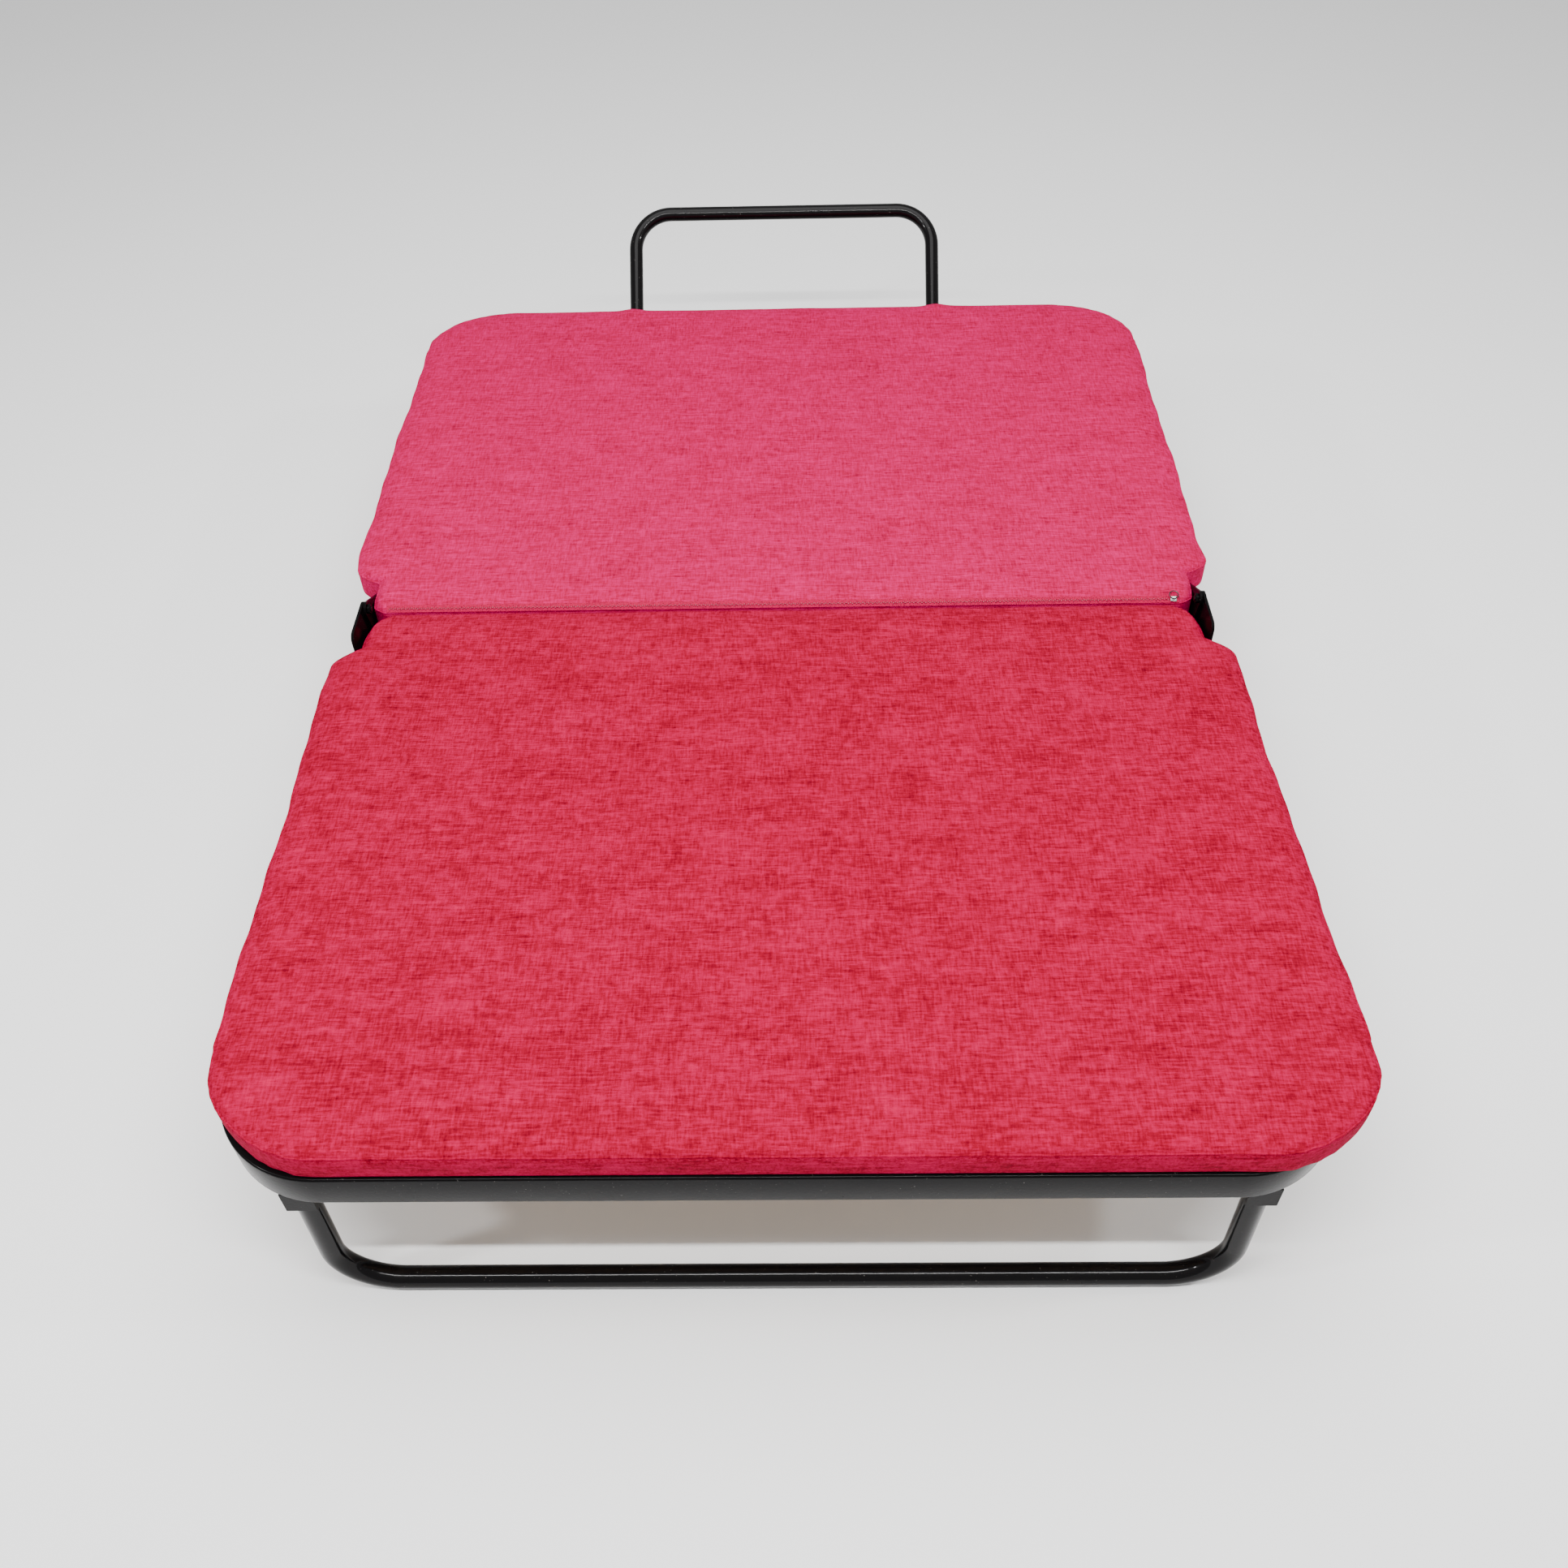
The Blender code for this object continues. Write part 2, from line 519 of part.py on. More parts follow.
def add_zip(fabric, steel, parent):
    """A tape with its teeth along the fold edge, a slider on the teeth and a ring through its eye."""
    half = NOTCH_X - ZIP_INSET
    wide, teeth = TAPE_WIDTH / 2, TEETH_WIDTH / 2
    low, flat = GAP, GAP + TAPE_THICKNESS
    top = flat + TEETH_HEIGHT
    section = [(-wide, low), (wide, low), (wide, flat), (teeth, flat), (teeth, top),
               (-teeth, top), (-teeth, flat), (-wide, flat)]
    rings = [[Vector((x, a, b)) for a, b in section] for x in (-half, half)]
    add_object("zip_tape", loft(rings), fabric, zip_frame(0), parent, smooth=0)

    slider_x = half - SLIDER_LENGTH
    axis = add_empty("zip_slider_axis", zip_frame(slider_x).translation, parent)
    roof = top + SLIDER_PLAY
    crown = roof + SLIDER_ROOF
    plain = slider_section(flat + SLIDER_PLAY, roof, crown, crown)
    eyed = slider_section(flat + SLIDER_PLAY, roof, crown, crown + 2 * EYE_RADIUS)
    stations = [(-SLIDER_LENGTH / 2, plain), (-EYE_LENGTH / 2, plain), (-EYE_LENGTH / 2, eyed),
                (EYE_LENGTH / 2, eyed), (EYE_LENGTH / 2, plain), (SLIDER_LENGTH / 2, plain)]
    bm = loft([[Vector((x, a, b)) for a, b in ring] for x, ring in stations])
    bmesh.ops.remove_doubles(bm, verts=bm.verts, dist=GAP / 100)
    slider = add_object("zip_slider", bm, steel, zip_frame(slider_x), axis, smooth=0)
    eye = zip_frame(slider_x) @ Matrix.Translation((0, 0, crown + EYE_RADIUS))
    cut(slider, cylinder_x(EYE_HOLE, -EYE_LENGTH, EYE_LENGTH), eye)

    ring_axis = add_empty("zip_pull_axis", eye.translation, axis)
    add_object("zip_pull", pull_ring(), steel, eye @ Matrix.Rotation(-RING_TILT, 4, "X"), ring_axis)


def slider_section(foot, roof, crown, eye_top):
    """The slider across the zip: a channel over the teeth, with an eye on top where it is higher."""
    inside, outside = TEETH_WIDTH / 2 + SLIDER_PLAY, SLIDER_WIDTH / 2
    return [(-outside, foot), (-inside, foot), (-inside, roof), (inside, roof), (inside, foot),
            (outside, foot), (outside, crown), (EYE_RADIUS, crown), (EYE_RADIUS, eye_top),
            (-EYE_RADIUS, eye_top), (-EYE_RADIUS, crown), (-outside, crown)]


def pull_ring():
    """A wire ring through the origin, lying towards +Y."""
    wire = circle(RING_WIRE)[::2]
    rings = []
    for i in range(RING_SEGMENTS):
        turn = i * 2 * pi / RING_SEGMENTS
        radial = Vector((cos(turn), sin(turn), 0))
        middle = Vector((0, RING_RADIUS, 0)) + radial * RING_RADIUS
        rings.append([middle + radial * a + Vector((0, 0, b)) for a, b in wire])
    return loft(rings, closed=True)


def add_half(end, direction, finishes, parent):
    add_rail(end, direction, finishes["black"], parent)
    add_rail_caps(end, direction, finishes["plastic"], parent)
    add_fold_bar(end, direction, finishes["black"], parent)
    add_cross_bars(end, direction, finishes["black"], parent)
    add_deck(end, direction, finishes["plywood"], parent)
    add_cushion(end, direction, finishes[f"{end}_fabric"], parent)
    add_hinge_plates(end, direction, finishes["black"], parent)


def main():
    clear_scene()
    finishes = {
        "black": paint("black_enamel", (0.012, 0.010, 0.011), 0.22),
        "plastic": paint("black_plastic", (0.02, 0.02, 0.02), 0.5),
        "plywood": paint("plywood", (0.45, 0.30, 0.17), 0.7),
        "foot_fabric": paint("foot_velvet", (0.52, 0.010, 0.060), 0.8),
        "head_fabric": paint("head_velvet", (0.60, 0.020, 0.090), 0.8),
        "tape": paint("zip_fabric", (0.42, 0.010, 0.050), 0.8),
        "steel": paint("zinc_steel", (0.62, 0.60, 0.58), 0.35, 1.0),
        "bronze": paint("bronzed_steel", (0.30, 0.17, 0.10), 0.45, 1.0),
    }
    foot_half = add_empty("foot_half", (0, FOLD_Y, FOLD_Z))
    head_half = add_empty("head_half", (0, FOLD_Y, FOLD_Z))
    for (end, direction), parent in zip(ENDS, (foot_half, head_half)):
        add_half(end, direction, finishes, parent)
    add_hinge_bolts(finishes["bronze"], foot_half)
    add_leg("foot_leg", -END_LEG_Y, -1, finishes["black"], finishes["bronze"], foot_half)
    add_leg("middle_leg", -MIDDLE_LEG_Y, 1, finishes["black"], finishes["bronze"], foot_half)
    add_leg("head_leg", END_LEG_Y, 1, finishes["black"], finishes["bronze"], head_half)
    add_headrest(finishes["black"], finishes["bronze"], head_half)
    add_zip(finishes["tape"], finishes["steel"], head_half)


main()
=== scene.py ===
"""The finished look of a folding cot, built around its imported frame.

Metres, +Z up. X runs across the cot, -Y is the foot end and +Y the head end.
"""

import json
from math import atan2, cos, hypot, pi, radians, sqrt

import bpy
import numpy as np
from mathutils import Matrix, Vector


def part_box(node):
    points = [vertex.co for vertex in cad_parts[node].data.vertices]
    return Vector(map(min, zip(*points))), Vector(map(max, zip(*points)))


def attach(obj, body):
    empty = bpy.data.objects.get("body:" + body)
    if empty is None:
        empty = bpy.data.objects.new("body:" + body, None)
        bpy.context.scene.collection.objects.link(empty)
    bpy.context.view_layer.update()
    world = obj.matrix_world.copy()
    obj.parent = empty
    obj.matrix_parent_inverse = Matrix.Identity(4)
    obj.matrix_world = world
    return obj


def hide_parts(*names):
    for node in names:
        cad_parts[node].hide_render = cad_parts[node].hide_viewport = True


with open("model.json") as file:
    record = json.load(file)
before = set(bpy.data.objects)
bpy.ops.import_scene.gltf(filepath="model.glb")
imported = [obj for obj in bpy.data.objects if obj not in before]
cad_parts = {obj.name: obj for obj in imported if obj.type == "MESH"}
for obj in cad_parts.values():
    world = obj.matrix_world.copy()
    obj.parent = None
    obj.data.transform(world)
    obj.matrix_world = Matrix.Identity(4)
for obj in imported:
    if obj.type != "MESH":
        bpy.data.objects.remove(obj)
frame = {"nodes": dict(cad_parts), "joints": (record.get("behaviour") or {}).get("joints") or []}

bl_info = {
    "name": "Folding Cot Maker",
    "version": (1, 0, 0),
    "blender": (4, 5, 0),
    "location": "3D View > Sidebar > Cot",
    "description": "Builds the rails, legs, cushions and zip of a folding cot",
    "category": "Object",
}

HALVES = (("foot", -1), ("head", 1))
LEGS = (("foot_leg", -1), ("middle_leg", 1), ("head_leg", 1))
MERGE = 1e-5  # points closer than this are one point


class CotFrameSizes(bpy.types.PropertyGroup):
    """Sizes of the metal frame."""
    rail_depth: bpy.props.FloatProperty(
        name="Rail depth", description="Width of the rails seen from above",
        default=0.025, unit="LENGTH")
    rail_edge: bpy.props.FloatProperty(
        name="Rail edge", description="Radius of the rails' long edges",
        default=0.003, unit="LENGTH")
    corner_radius: bpy.props.FloatProperty(
        name="Corner radius", description="Outer radius of the bent corners",
        default=0.130, unit="LENGTH")
    leg_tube: bpy.props.FloatProperty(
        name="Leg tube", description="Diameter of the leg tubes", default=0.028, unit="LENGTH")
    leg_bend: bpy.props.FloatProperty(
        name="Leg bend", description="Radius of the bends in a leg, to the tube's centre",
        default=0.075, unit="LENGTH")
    leg_splay: bpy.props.FloatProperty(
        name="Leg splay", description="Lean of a standing leg towards its stop",
        default=radians(1.5), subtype="ANGLE")
    headrest_tube: bpy.props.FloatProperty(
        name="Headrest tube", description="Diameter of the headrest bar",
        default=0.0254, unit="LENGTH")
    headrest_bend: bpy.props.FloatProperty(
        name="Headrest bend", description="Radius of the bends in the headrest bar, to the tube's centre",
        default=0.068, unit="LENGTH")
    headrest_length: bpy.props.FloatProperty(
        name="Headrest length", description="Pivot to the centre of the top bar",
        default=0.230, unit="LENGTH")
    headrest_lean: bpy.props.FloatProperty(
        name="Headrest lean", description="Rise of the headrest bar above level",
        default=radians(43.8), subtype="ANGLE")


class CotCushionSizes(bpy.types.PropertyGroup):
    """Sizes of the two cushions and their sewing."""
    shrink: bpy.props.FloatProperty(
        name="Shrink", description="How much smaller the foam block is before it swells, on each side",
        default=0.005, unit="LENGTH")
    corner: bpy.props.FloatProperty(
        name="Corner", description="Radius of the cushions' outer corners",
        default=0.136, unit="LENGTH")
    fold_corner: bpy.props.FloatProperty(
        name="Fold corner", description="Radius of the cushions' corners beside the fold",
        default=0.028, unit="LENGTH")
    foot_overhang: bpy.props.FloatProperty(
        name="Foot overhang", description="How far the foot cover's sides stand past the foam",
        default=0.006, unit="LENGTH")
    head_overhang: bpy.props.FloatProperty(
        name="Head overhang", description="How far the head cover's sides stand past the foam",
        default=0.011, unit="LENGTH")
    foot_spread: bpy.props.FloatProperty(
        name="Foot spread", description="How much further the foot cover's sides stand at its end",
        default=0.006, unit="LENGTH")
    foot_drift: bpy.props.FloatProperty(
        name="Foot drift", description="How far to the right the foot cover lies at its end",
        default=0.017, unit="LENGTH")
    head_drift: bpy.props.FloatProperty(
        name="Head drift", description="How far to the left the head cover lies",
        default=-0.007, unit="LENGTH")
    crown: bpy.props.FloatProperty(
        name="Crown", description="How far the middle of a cushion's top stands above its foam",
        default=0.0022, unit="LENGTH")
    fold_gap: bpy.props.FloatProperty(
        name="Fold gap", description="The fold line to the foot cushion's cover",
        default=0.0008, unit="LENGTH")
    corner_step: bpy.props.FloatProperty(
        name="Corner step", description="How far the top folds down at the foot cushion's hinge corners",
        default=0.015, unit="LENGTH")
    step_radius: bpy.props.FloatProperty(
        name="Step radius", description="Radius of that step, seen from above",
        default=0.075, unit="LENGTH")
    voxel: bpy.props.FloatProperty(
        name="Grain", description="Spacing of the cushion's surface before it is subdivided",
        default=0.008, unit="LENGTH")
    pressure: bpy.props.FloatProperty(
        name="Pressure", description="How hard the filling presses on the cover", default=4.0)
    swell: bpy.props.FloatProperty(
        name="Swell", description="How far the cover may move as it fills", default=0.006, unit="LENGTH")
    seam_drop: bpy.props.FloatProperty(
        name="Seam drop", description="Top of the cushion down to the seam round it",
        default=0.011, unit="LENGTH")
    welt: bpy.props.FloatProperty(
        name="Welt", description="Radius of the bead along the seam", default=0.0013, unit="LENGTH")
    stitch_pitch: bpy.props.FloatProperty(
        name="Stitch pitch", description="Distance from one stitch to the next",
        default=0.009, unit="LENGTH")


class CotColours(bpy.types.PropertyGroup):
    """Colours of the cot's finishes."""
    foot_velvet: bpy.props.FloatVectorProperty(
        name="Foot cushion", description="Pile of the foot cushion", subtype="COLOR",
        size=3, min=0, max=1, default=(0.24, 0.0, 0.015))
    foot_brushed: bpy.props.FloatVectorProperty(
        name="Foot cushion, brushed", description="The same pile where it lies the other way",
        subtype="COLOR", size=3, min=0, max=1, default=(0.34, 0.0, 0.038))
    # Painted sheen: both head cushion colours are lighter than the foot cushion's, standing in for the
    # light that the head cushion's pile catches.
    head_velvet: bpy.props.FloatVectorProperty(
        name="Head cushion", description="Pile of the head cushion", subtype="COLOR",
        size=3, min=0, max=1, default=(0.35, 0.0, 0.042))
    head_brushed: bpy.props.FloatVectorProperty(
        name="Head cushion, brushed", description="The same pile where it lies the other way",
        subtype="COLOR", size=3, min=0, max=1, default=(0.45, 0.0, 0.082))
    thread: bpy.props.FloatVectorProperty(
        name="Thread", description="Stitches along the seams", subtype="COLOR",
        size=3, min=0, max=1, default=(0.30, 0.001, 0.034))
    enamel: bpy.props.FloatVectorProperty(
        name="Enamel", description="Gloss paint on the frame", subtype="COLOR",
        size=3, min=0, max=1, default=(0.0025, 0.0021, 0.0024))
    plastic: bpy.props.FloatVectorProperty(
        name="Plastic", description="Plugs in the rails' ends", subtype="COLOR",
        size=3, min=0, max=1, default=(0.02, 0.02, 0.02))
    plywood: bpy.props.FloatVectorProperty(
        name="Plywood", description="Boards under the cushions", subtype="COLOR",
        size=3, min=0, max=1, default=(0.50, 0.33, 0.18))
    zinc: bpy.props.FloatVectorProperty(
        name="Zinc", description="Zip slider", subtype="COLOR",
        size=3, min=0, max=1, default=(0.62, 0.60, 0.58))
    bronze: bpy.props.FloatVectorProperty(
        name="Bronze", description="Bolts and nuts", subtype="COLOR",
        size=3, min=0, max=1, default=(0.30, 0.17, 0.10))


class CotStage(bpy.types.PropertyGroup):
    """The floor, lights and camera."""
    floor_colour: bpy.props.FloatVectorProperty(
        name="Floor", description="Colour of the floor", subtype="COLOR",
        size=3, min=0, max=1, default=(0.92, 0.92, 0.92))
    camera_back: bpy.props.FloatProperty(
        name="Camera distance", description="Camera to the cot's foot end, along the floor",
        default=0.7588, unit="LENGTH")
    camera_height: bpy.props.FloatProperty(
        name="Camera height", description="Camera above the floor", default=1.7058, unit="LENGTH")
    camera_tilt: bpy.props.FloatProperty(
        name="Camera tilt", description="How far the camera looks down", default=radians(46.5),
        subtype="ANGLE")
    camera_side: bpy.props.FloatProperty(
        name="Camera offset", description="Camera to the right of the cot's middle",
        default=0.040, unit="LENGTH")
    camera_turn: bpy.props.FloatProperty(
        name="Camera turn", description="How far the camera looks to the left",
        default=radians(1.5), subtype="ANGLE")
    camera_roll: bpy.props.FloatProperty(
        name="Camera roll", description="Turn of the camera about its own line of sight",
        default=radians(-1.7), subtype="ANGLE")
    lens: bpy.props.FloatProperty(
        name="Lens", description="Focal length in millimetres", default=33.3)


# ---------------------------------------------------------------- selecting and finishing

def clear_selection():
    if bpy.context.mode != "OBJECT":
        bpy.ops.object.mode_set(mode="OBJECT")
    bpy.ops.object.select_all(action="DESELECT")


def pick(obj):
    clear_selection()
    obj.select_set(True)
    bpy.context.view_layer.objects.active = obj


def settle(obj, matrix=None):
    """Put an object in its place and write that place into its mesh."""
    if matrix is not None:
        obj.matrix_world = matrix
    bpy.context.view_layer.update()
    pick(obj)
    bpy.ops.object.transform_apply(location=True, rotation=True, scale=True)


def duplicate(obj, name):
    copy = obj.copy()
    copy.data = obj.data.copy()
    copy.name = name
    bpy.context.scene.collection.objects.link(copy)
    return copy


def apply_modifiers(obj):
    pick(obj)
    for modifier in list(obj.modifiers):
        bpy.ops.object.modifier_apply(modifier=modifier.name)


def finish_piece(obj, name, material, body, nodes=(), smooth=35):
    """Name and paint a piece, and hand it to the body and the nodes that it stands for."""
    obj.name = name
    obj.data.materials.clear()
    obj.data.materials.append(material)
    pick(obj)
    bpy.ops.object.shade_smooth_by_angle(angle=radians(smooth))
    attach(obj, body)
    if nodes:
        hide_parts(*nodes)


def closed_normals(obj):
    """Merge doubled points and point every face outwards."""
    pick(obj)
    bpy.ops.object.mode_set(mode="EDIT")
    bpy.ops.mesh.select_all(action="SELECT")
    bpy.ops.mesh.remove_doubles(threshold=MERGE)
    bpy.ops.mesh.normals_make_consistent(inside=False)
    bpy.ops.object.mode_set(mode="OBJECT")


# ---------------------------------------------------------------- materials

NICKEL = (0.06, 0.055, 0.055)
DUST = (0.16, 0.15, 0.14)
WHITE = (1, 1, 1)


def new_material(name):
    material = bpy.data.materials.new(name)
    material.use_nodes = True
    tree = material.node_tree
    shader = tree.nodes["Principled BSDF"]
    coords = tree.nodes.new("ShaderNodeTexCoord").outputs["Object"]
    return material, tree, shader, coords


def noise(tree, coords, scale, detail=3, roughness=0.5):
    """Noise on coordinates stretched by scale, its first three numbers per metre."""
    mapping = tree.nodes.new("ShaderNodeMapping")
    mapping.inputs["Scale"].default_value = scale
    tree.links.new(coords, mapping.inputs["Vector"])
    node = tree.nodes.new("ShaderNodeTexNoise")
    node.inputs["Scale"].default_value = 1
    node.inputs["Detail"].default_value = detail
    node.inputs["Roughness"].default_value = roughness
    tree.links.new(mapping.outputs["Vector"], node.inputs["Vector"])
    return node.outputs["Fac"]


def ramp(tree, value, stops):
    node = tree.nodes.new("ShaderNodeValToRGB")
    elements = node.color_ramp.elements
    while len(elements) < len(stops):
        elements.new(0.5)
    for element, (position, color) in zip(elements, stops):
        element.position = position
        element.color = (*color, 1)
    tree.links.new(value, node.inputs["Fac"])
    return node.outputs["Color"]


def blend_colours(tree, first, second, factor, mode="MIX"):
    node = tree.nodes.new("ShaderNodeMix")
    node.data_type = "RGBA"
    node.blend_type = mode
    for socket, value in (("Factor_Float", factor), ("A_Color", first), ("B_Color", second)):
        target = next(s for s in node.inputs if s.identifier == socket)
        if hasattr(value, "is_linked"):
            tree.links.new(value, target)
        else:
            target.default_value = value if isinstance(value, float) else (*value, 1)
    return next(s for s in node.outputs if s.identifier == "Result_Color")


def spread(tree, value, low, high, start=0.3, end=0.7):
    """A number run from low to high as the value goes from start to end."""
    node = tree.nodes.new("ShaderNodeMapRange")
    for key, number in zip(("From Min", "From Max", "To Min", "To Max"), (start, end, low, high)):
        node.inputs[key].default_value = number
    tree.links.new(value, node.inputs["Value"])
    return node.outputs["Result"]


def add_numbers(tree, first, second):
    node = tree.nodes.new("ShaderNodeMath")
    node.operation = "ADD"
    tree.links.new(first, node.inputs[0])
    tree.links.new(second, node.inputs[1])
    return node.outputs["Value"]


def bump(tree, shader, height, distance, strength=1.0):
    node = tree.nodes.new("ShaderNodeBump")
    node.inputs["Distance"].default_value = distance
    node.inputs["Strength"].default_value = strength
    tree.links.new(height, node.inputs["Height"])
    tree.links.new(node.outputs["Normal"], shader.inputs["Normal"])


def shade(color, amount):
    return tuple(min(1.0, channel * amount) for channel in color)


def mean_of(tree, parts):
    """Numbers added up, each times its weight."""
    total = None
    for value, weight in parts:
        node = tree.nodes.new("ShaderNodeMath")
        node.operation = "MULTIPLY_ADD"
        node.inputs[1].default_value = weight
        tree.links.new(value, node.inputs[0])
        if total is None:
            node.inputs[2].default_value = 0
        else:
            tree.links.new(total, node.inputs[2])
        total = node.outputs["Value"]
    return total


def velvet(name, color, brushed, sheen, patchy):
    """Crushed pile: short slubs across the cot, a cross grain, and patches laid the other way."""
    material, tree, shader, coords = new_material(name)
    slubs = noise(tree, coords, (62, 430, 380), 3, 0.62)
    long_slubs = noise(tree, coords, (17, 210, 200), 3, 0.62)
    cross = noise(tree, coords, (390, 58, 260), 3, 0.62)
    crush = noise(tree, coords, (62, 84, 70), 6, 0.75)
    patches = noise(tree, coords, (11, 17, 14), 6, 0.74)
    lie = mean_of(tree, [(slubs, 0.34), (long_slubs, 0.20), (cross, 0.30),
                         (crush, 0.22 * patchy), (patches, 0.22 * patchy)])
    middle = 0.5 * (0.84 + 0.44 * patchy)  # half of the weights above
    base = ramp(tree, lie, [(middle - 0.14, shade(color, 0.50)), (middle - 0.035, color),
                            (middle + 0.05, brushed), (middle + 0.14, shade(brushed, 1.3))])
    tree.links.new(base, shader.inputs["Base Color"])
    tree.links.new(spread(tree, patches, 0.75, 0.95), shader.inputs["Roughness"])
    shader.inputs["Specular IOR Level"].default_value = 0.03
    shader.inputs["Sheen Weight"].default_value = sheen
    shader.inputs["Sheen Roughness"].default_value = 0.42
    shader.inputs["Sheen Tint"].default_value = (1.0, 0.05, 0.25, 1)
    bump(tree, shader, mean_of(tree, [(slubs, 0.5), (cross, 0.35), (crush, 0.6)]), 0.0016, 0.8)
    return material


def enamel(name, color, coat):
    """Gloss paint: a faint orange peel, uneven gloss and a few specks of dust."""
    material, tree, shader, coords = new_material(name)
    cloud = noise(tree, coords, (9, 9, 9), 3)
    specks = noise(tree, coords, (480, 480, 480), 2)
    base = ramp(tree, specks, [(0.0, color), (0.735, color), (0.76, DUST)])
    tree.links.new(base, shader.inputs["Base Color"])
    tree.links.new(spread(tree, cloud, 0.14, 0.30), shader.inputs["Roughness"])
    shader.inputs["Specular IOR Level"].default_value = 0.045
    shader.inputs["Coat Weight"].default_value = coat
    shader.inputs["Coat Roughness"].default_value = 0.07
    shader.inputs["Coat IOR"].default_value = 1.4
    bump(tree, shader, noise(tree, coords, (260, 260, 260), 2), 0.00012)
    return material


def moulded(name, color):
    material, tree, shader, coords = new_material(name)
    grain = noise(tree, coords, (900, 900, 900), 2)
    base = ramp(tree, grain, [(0.3, shade(color, 0.7)), (0.7, shade(color, 1.4))])
    tree.links.new(base, shader.inputs["Base Color"])
    tree.links.new(spread(tree, grain, 0.42, 0.6), shader.inputs["Roughness"])
    bump(tree, shader, grain, 0.0002)
    return material


def board(name, color):
    """Plywood: long grain along Y with darker pores."""
    material, tree, shader, coords = new_material(name)
    grain = noise(tree, coords, (45, 2.2, 45), 6, 0.65)
    pores = noise(tree, coords, (520, 22, 520), 2)
    base = ramp(tree, grain, [(0.32, shade(color, 0.62)), (0.5, color), (0.68, shade(color, 1.25))])
    base = blend_colours(tree, base, ramp(tree, pores, [(0.32, (0.55,) * 3), (0.42, WHITE)]),
                         0.7, "MULTIPLY")
    tree.links.new(base, shader.inputs["Base Color"])
    tree.links.new(spread(tree, grain, 0.62, 0.8), shader.inputs["Roughness"])
    bump(tree, shader, pores, 0.0004, 0.6)
    return material


def plated(name, color, roughness):
    """Plated steel with fine scratches and dull patches."""
    material, tree, shader, coords = new_material(name)
    scratches = noise(tree, coords, (90, 1400, 1400), 3)
    dull = noise(tree, coords, (120, 120, 120), 3)
    base = ramp(tree, dull, [(0.3, shade(color, 0.65)), (0.65, shade(color, 1.1))])
    tree.links.new(base, shader.inputs["Base Color"])
    tree.links.new(spread(tree, scratches, roughness - 0.1, roughness + 0.12), shader.inputs["Roughness"])
    shader.inputs["Metallic"].default_value = 1.0
    bump(tree, shader, scratches, 0.00006)
    return material


def woven(name, color):
    """A flat weave, as on zip tape and thread."""
    material, tree, shader, coords = new_material(name)
    warp = noise(tree, coords, (1600, 300, 300), 1)
    weft = noise(tree, coords, (300, 1600, 1600), 1)
    base = ramp(tree, add_numbers(tree, warp, weft),
                [(0.80, shade(color, 0.6)), (1.0, shade(color, 1.3))])
    tree.links.new(base, shader.inputs["Base Color"])
    tree.links.new(spread(tree, weft, 0.7, 0.9), shader.inputs["Roughness"])
    shader.inputs["Specular IOR Level"].default_value = 0.1
    bump(tree, shader, add_numbers(tree, warp, weft), 0.0003)
    return material


def floor_paint(name, color):
    material, tree, shader, coords = new_material(name)
    cloud = noise(tree, coords, (1.4, 1.4, 1.4), 2)
    base = ramp(tree, cloud, [(0.2, shade(color, 0.985)), (0.8, color)])
    tree.links.new(base, shader.inputs["Base Color"])
    shader.inputs["Roughness"].default_value = 0.85
    return material


def finish(name):
    """One of the cot's materials, made when it is first asked for."""
    if name in bpy.data.materials:
        return bpy.data.materials[name]
    colours = bpy.context.scene.cot_colours
    makers = {
        "foot velvet": lambda: velvet(name, colours.foot_velvet, colours.foot_brushed,
                                      sheen=0.05, patchy=1.0),
        # The head velvet is made from those lighter colours, so its base colour holds a painted sheen.
        "head velvet": lambda: velvet(name, colours.head_velvet, colours.head_brushed,
                                      sheen=0.14, patchy=0.55),
        "gloss enamel": lambda: enamel(name, colours.enamel, coat=0.05),
        "tube enamel": lambda: enamel(name, colours.enamel, coat=0.30),
        "moulded plastic": lambda: moulded(name, colours.plastic),
        "plywood board": lambda: board(name, colours.plywood),
        "zinc plate": lambda: plated(name, colours.zinc, roughness=0.34),
        "dark nickel": lambda: plated(name, NICKEL, roughness=0.3),
        "bronzed plate": lambda: plated(name, colours.bronze, roughness=0.42),
        # The zip's tape and coil are darker copies of the head velvet's colour, painted sheen included.
        "zip tape": lambda: woven(name, shade(colours.head_velvet, 0.9)),
        "zip coil": lambda: moulded(name, shade(colours.head_velvet, 0.7)),
        "seam thread": lambda: woven(name, colours.thread),
    }
    return makers[name]()


# ---------------------------------------------------------------- metal frame

TUBE_SIDES = 36
TUBE_STEPS = 16       # in a tube's bend
RAIL_STEPS = 20       # in a rail's bend
ON_PIVOT = 1e-4       # how near the pivot an arm's end face is


def draw_u(spread_between, length, bend, steps):
    """Sweep the selected section out along +Y, across and back, as one bent bar."""
    half = spread_between / 2
    straight = length - bend
    move = bpy.ops.mesh.extrude_region_move
    move(TRANSFORM_OT_translate={"value": (0, straight, 0)})
    bpy.ops.mesh.spin(steps=steps, angle=pi / 2, center=(bend - half, straight, 0), axis=(0, 0, 1))
    move(TRANSFORM_OT_translate={"value": (spread_between - 2 * bend, 0, 0)})
    bpy.ops.mesh.spin(steps=steps, angle=pi / 2, center=(half - bend, straight, 0), axis=(0, 0, 1))
    move(TRANSFORM_OT_translate={"value": (0, -straight, 0)})


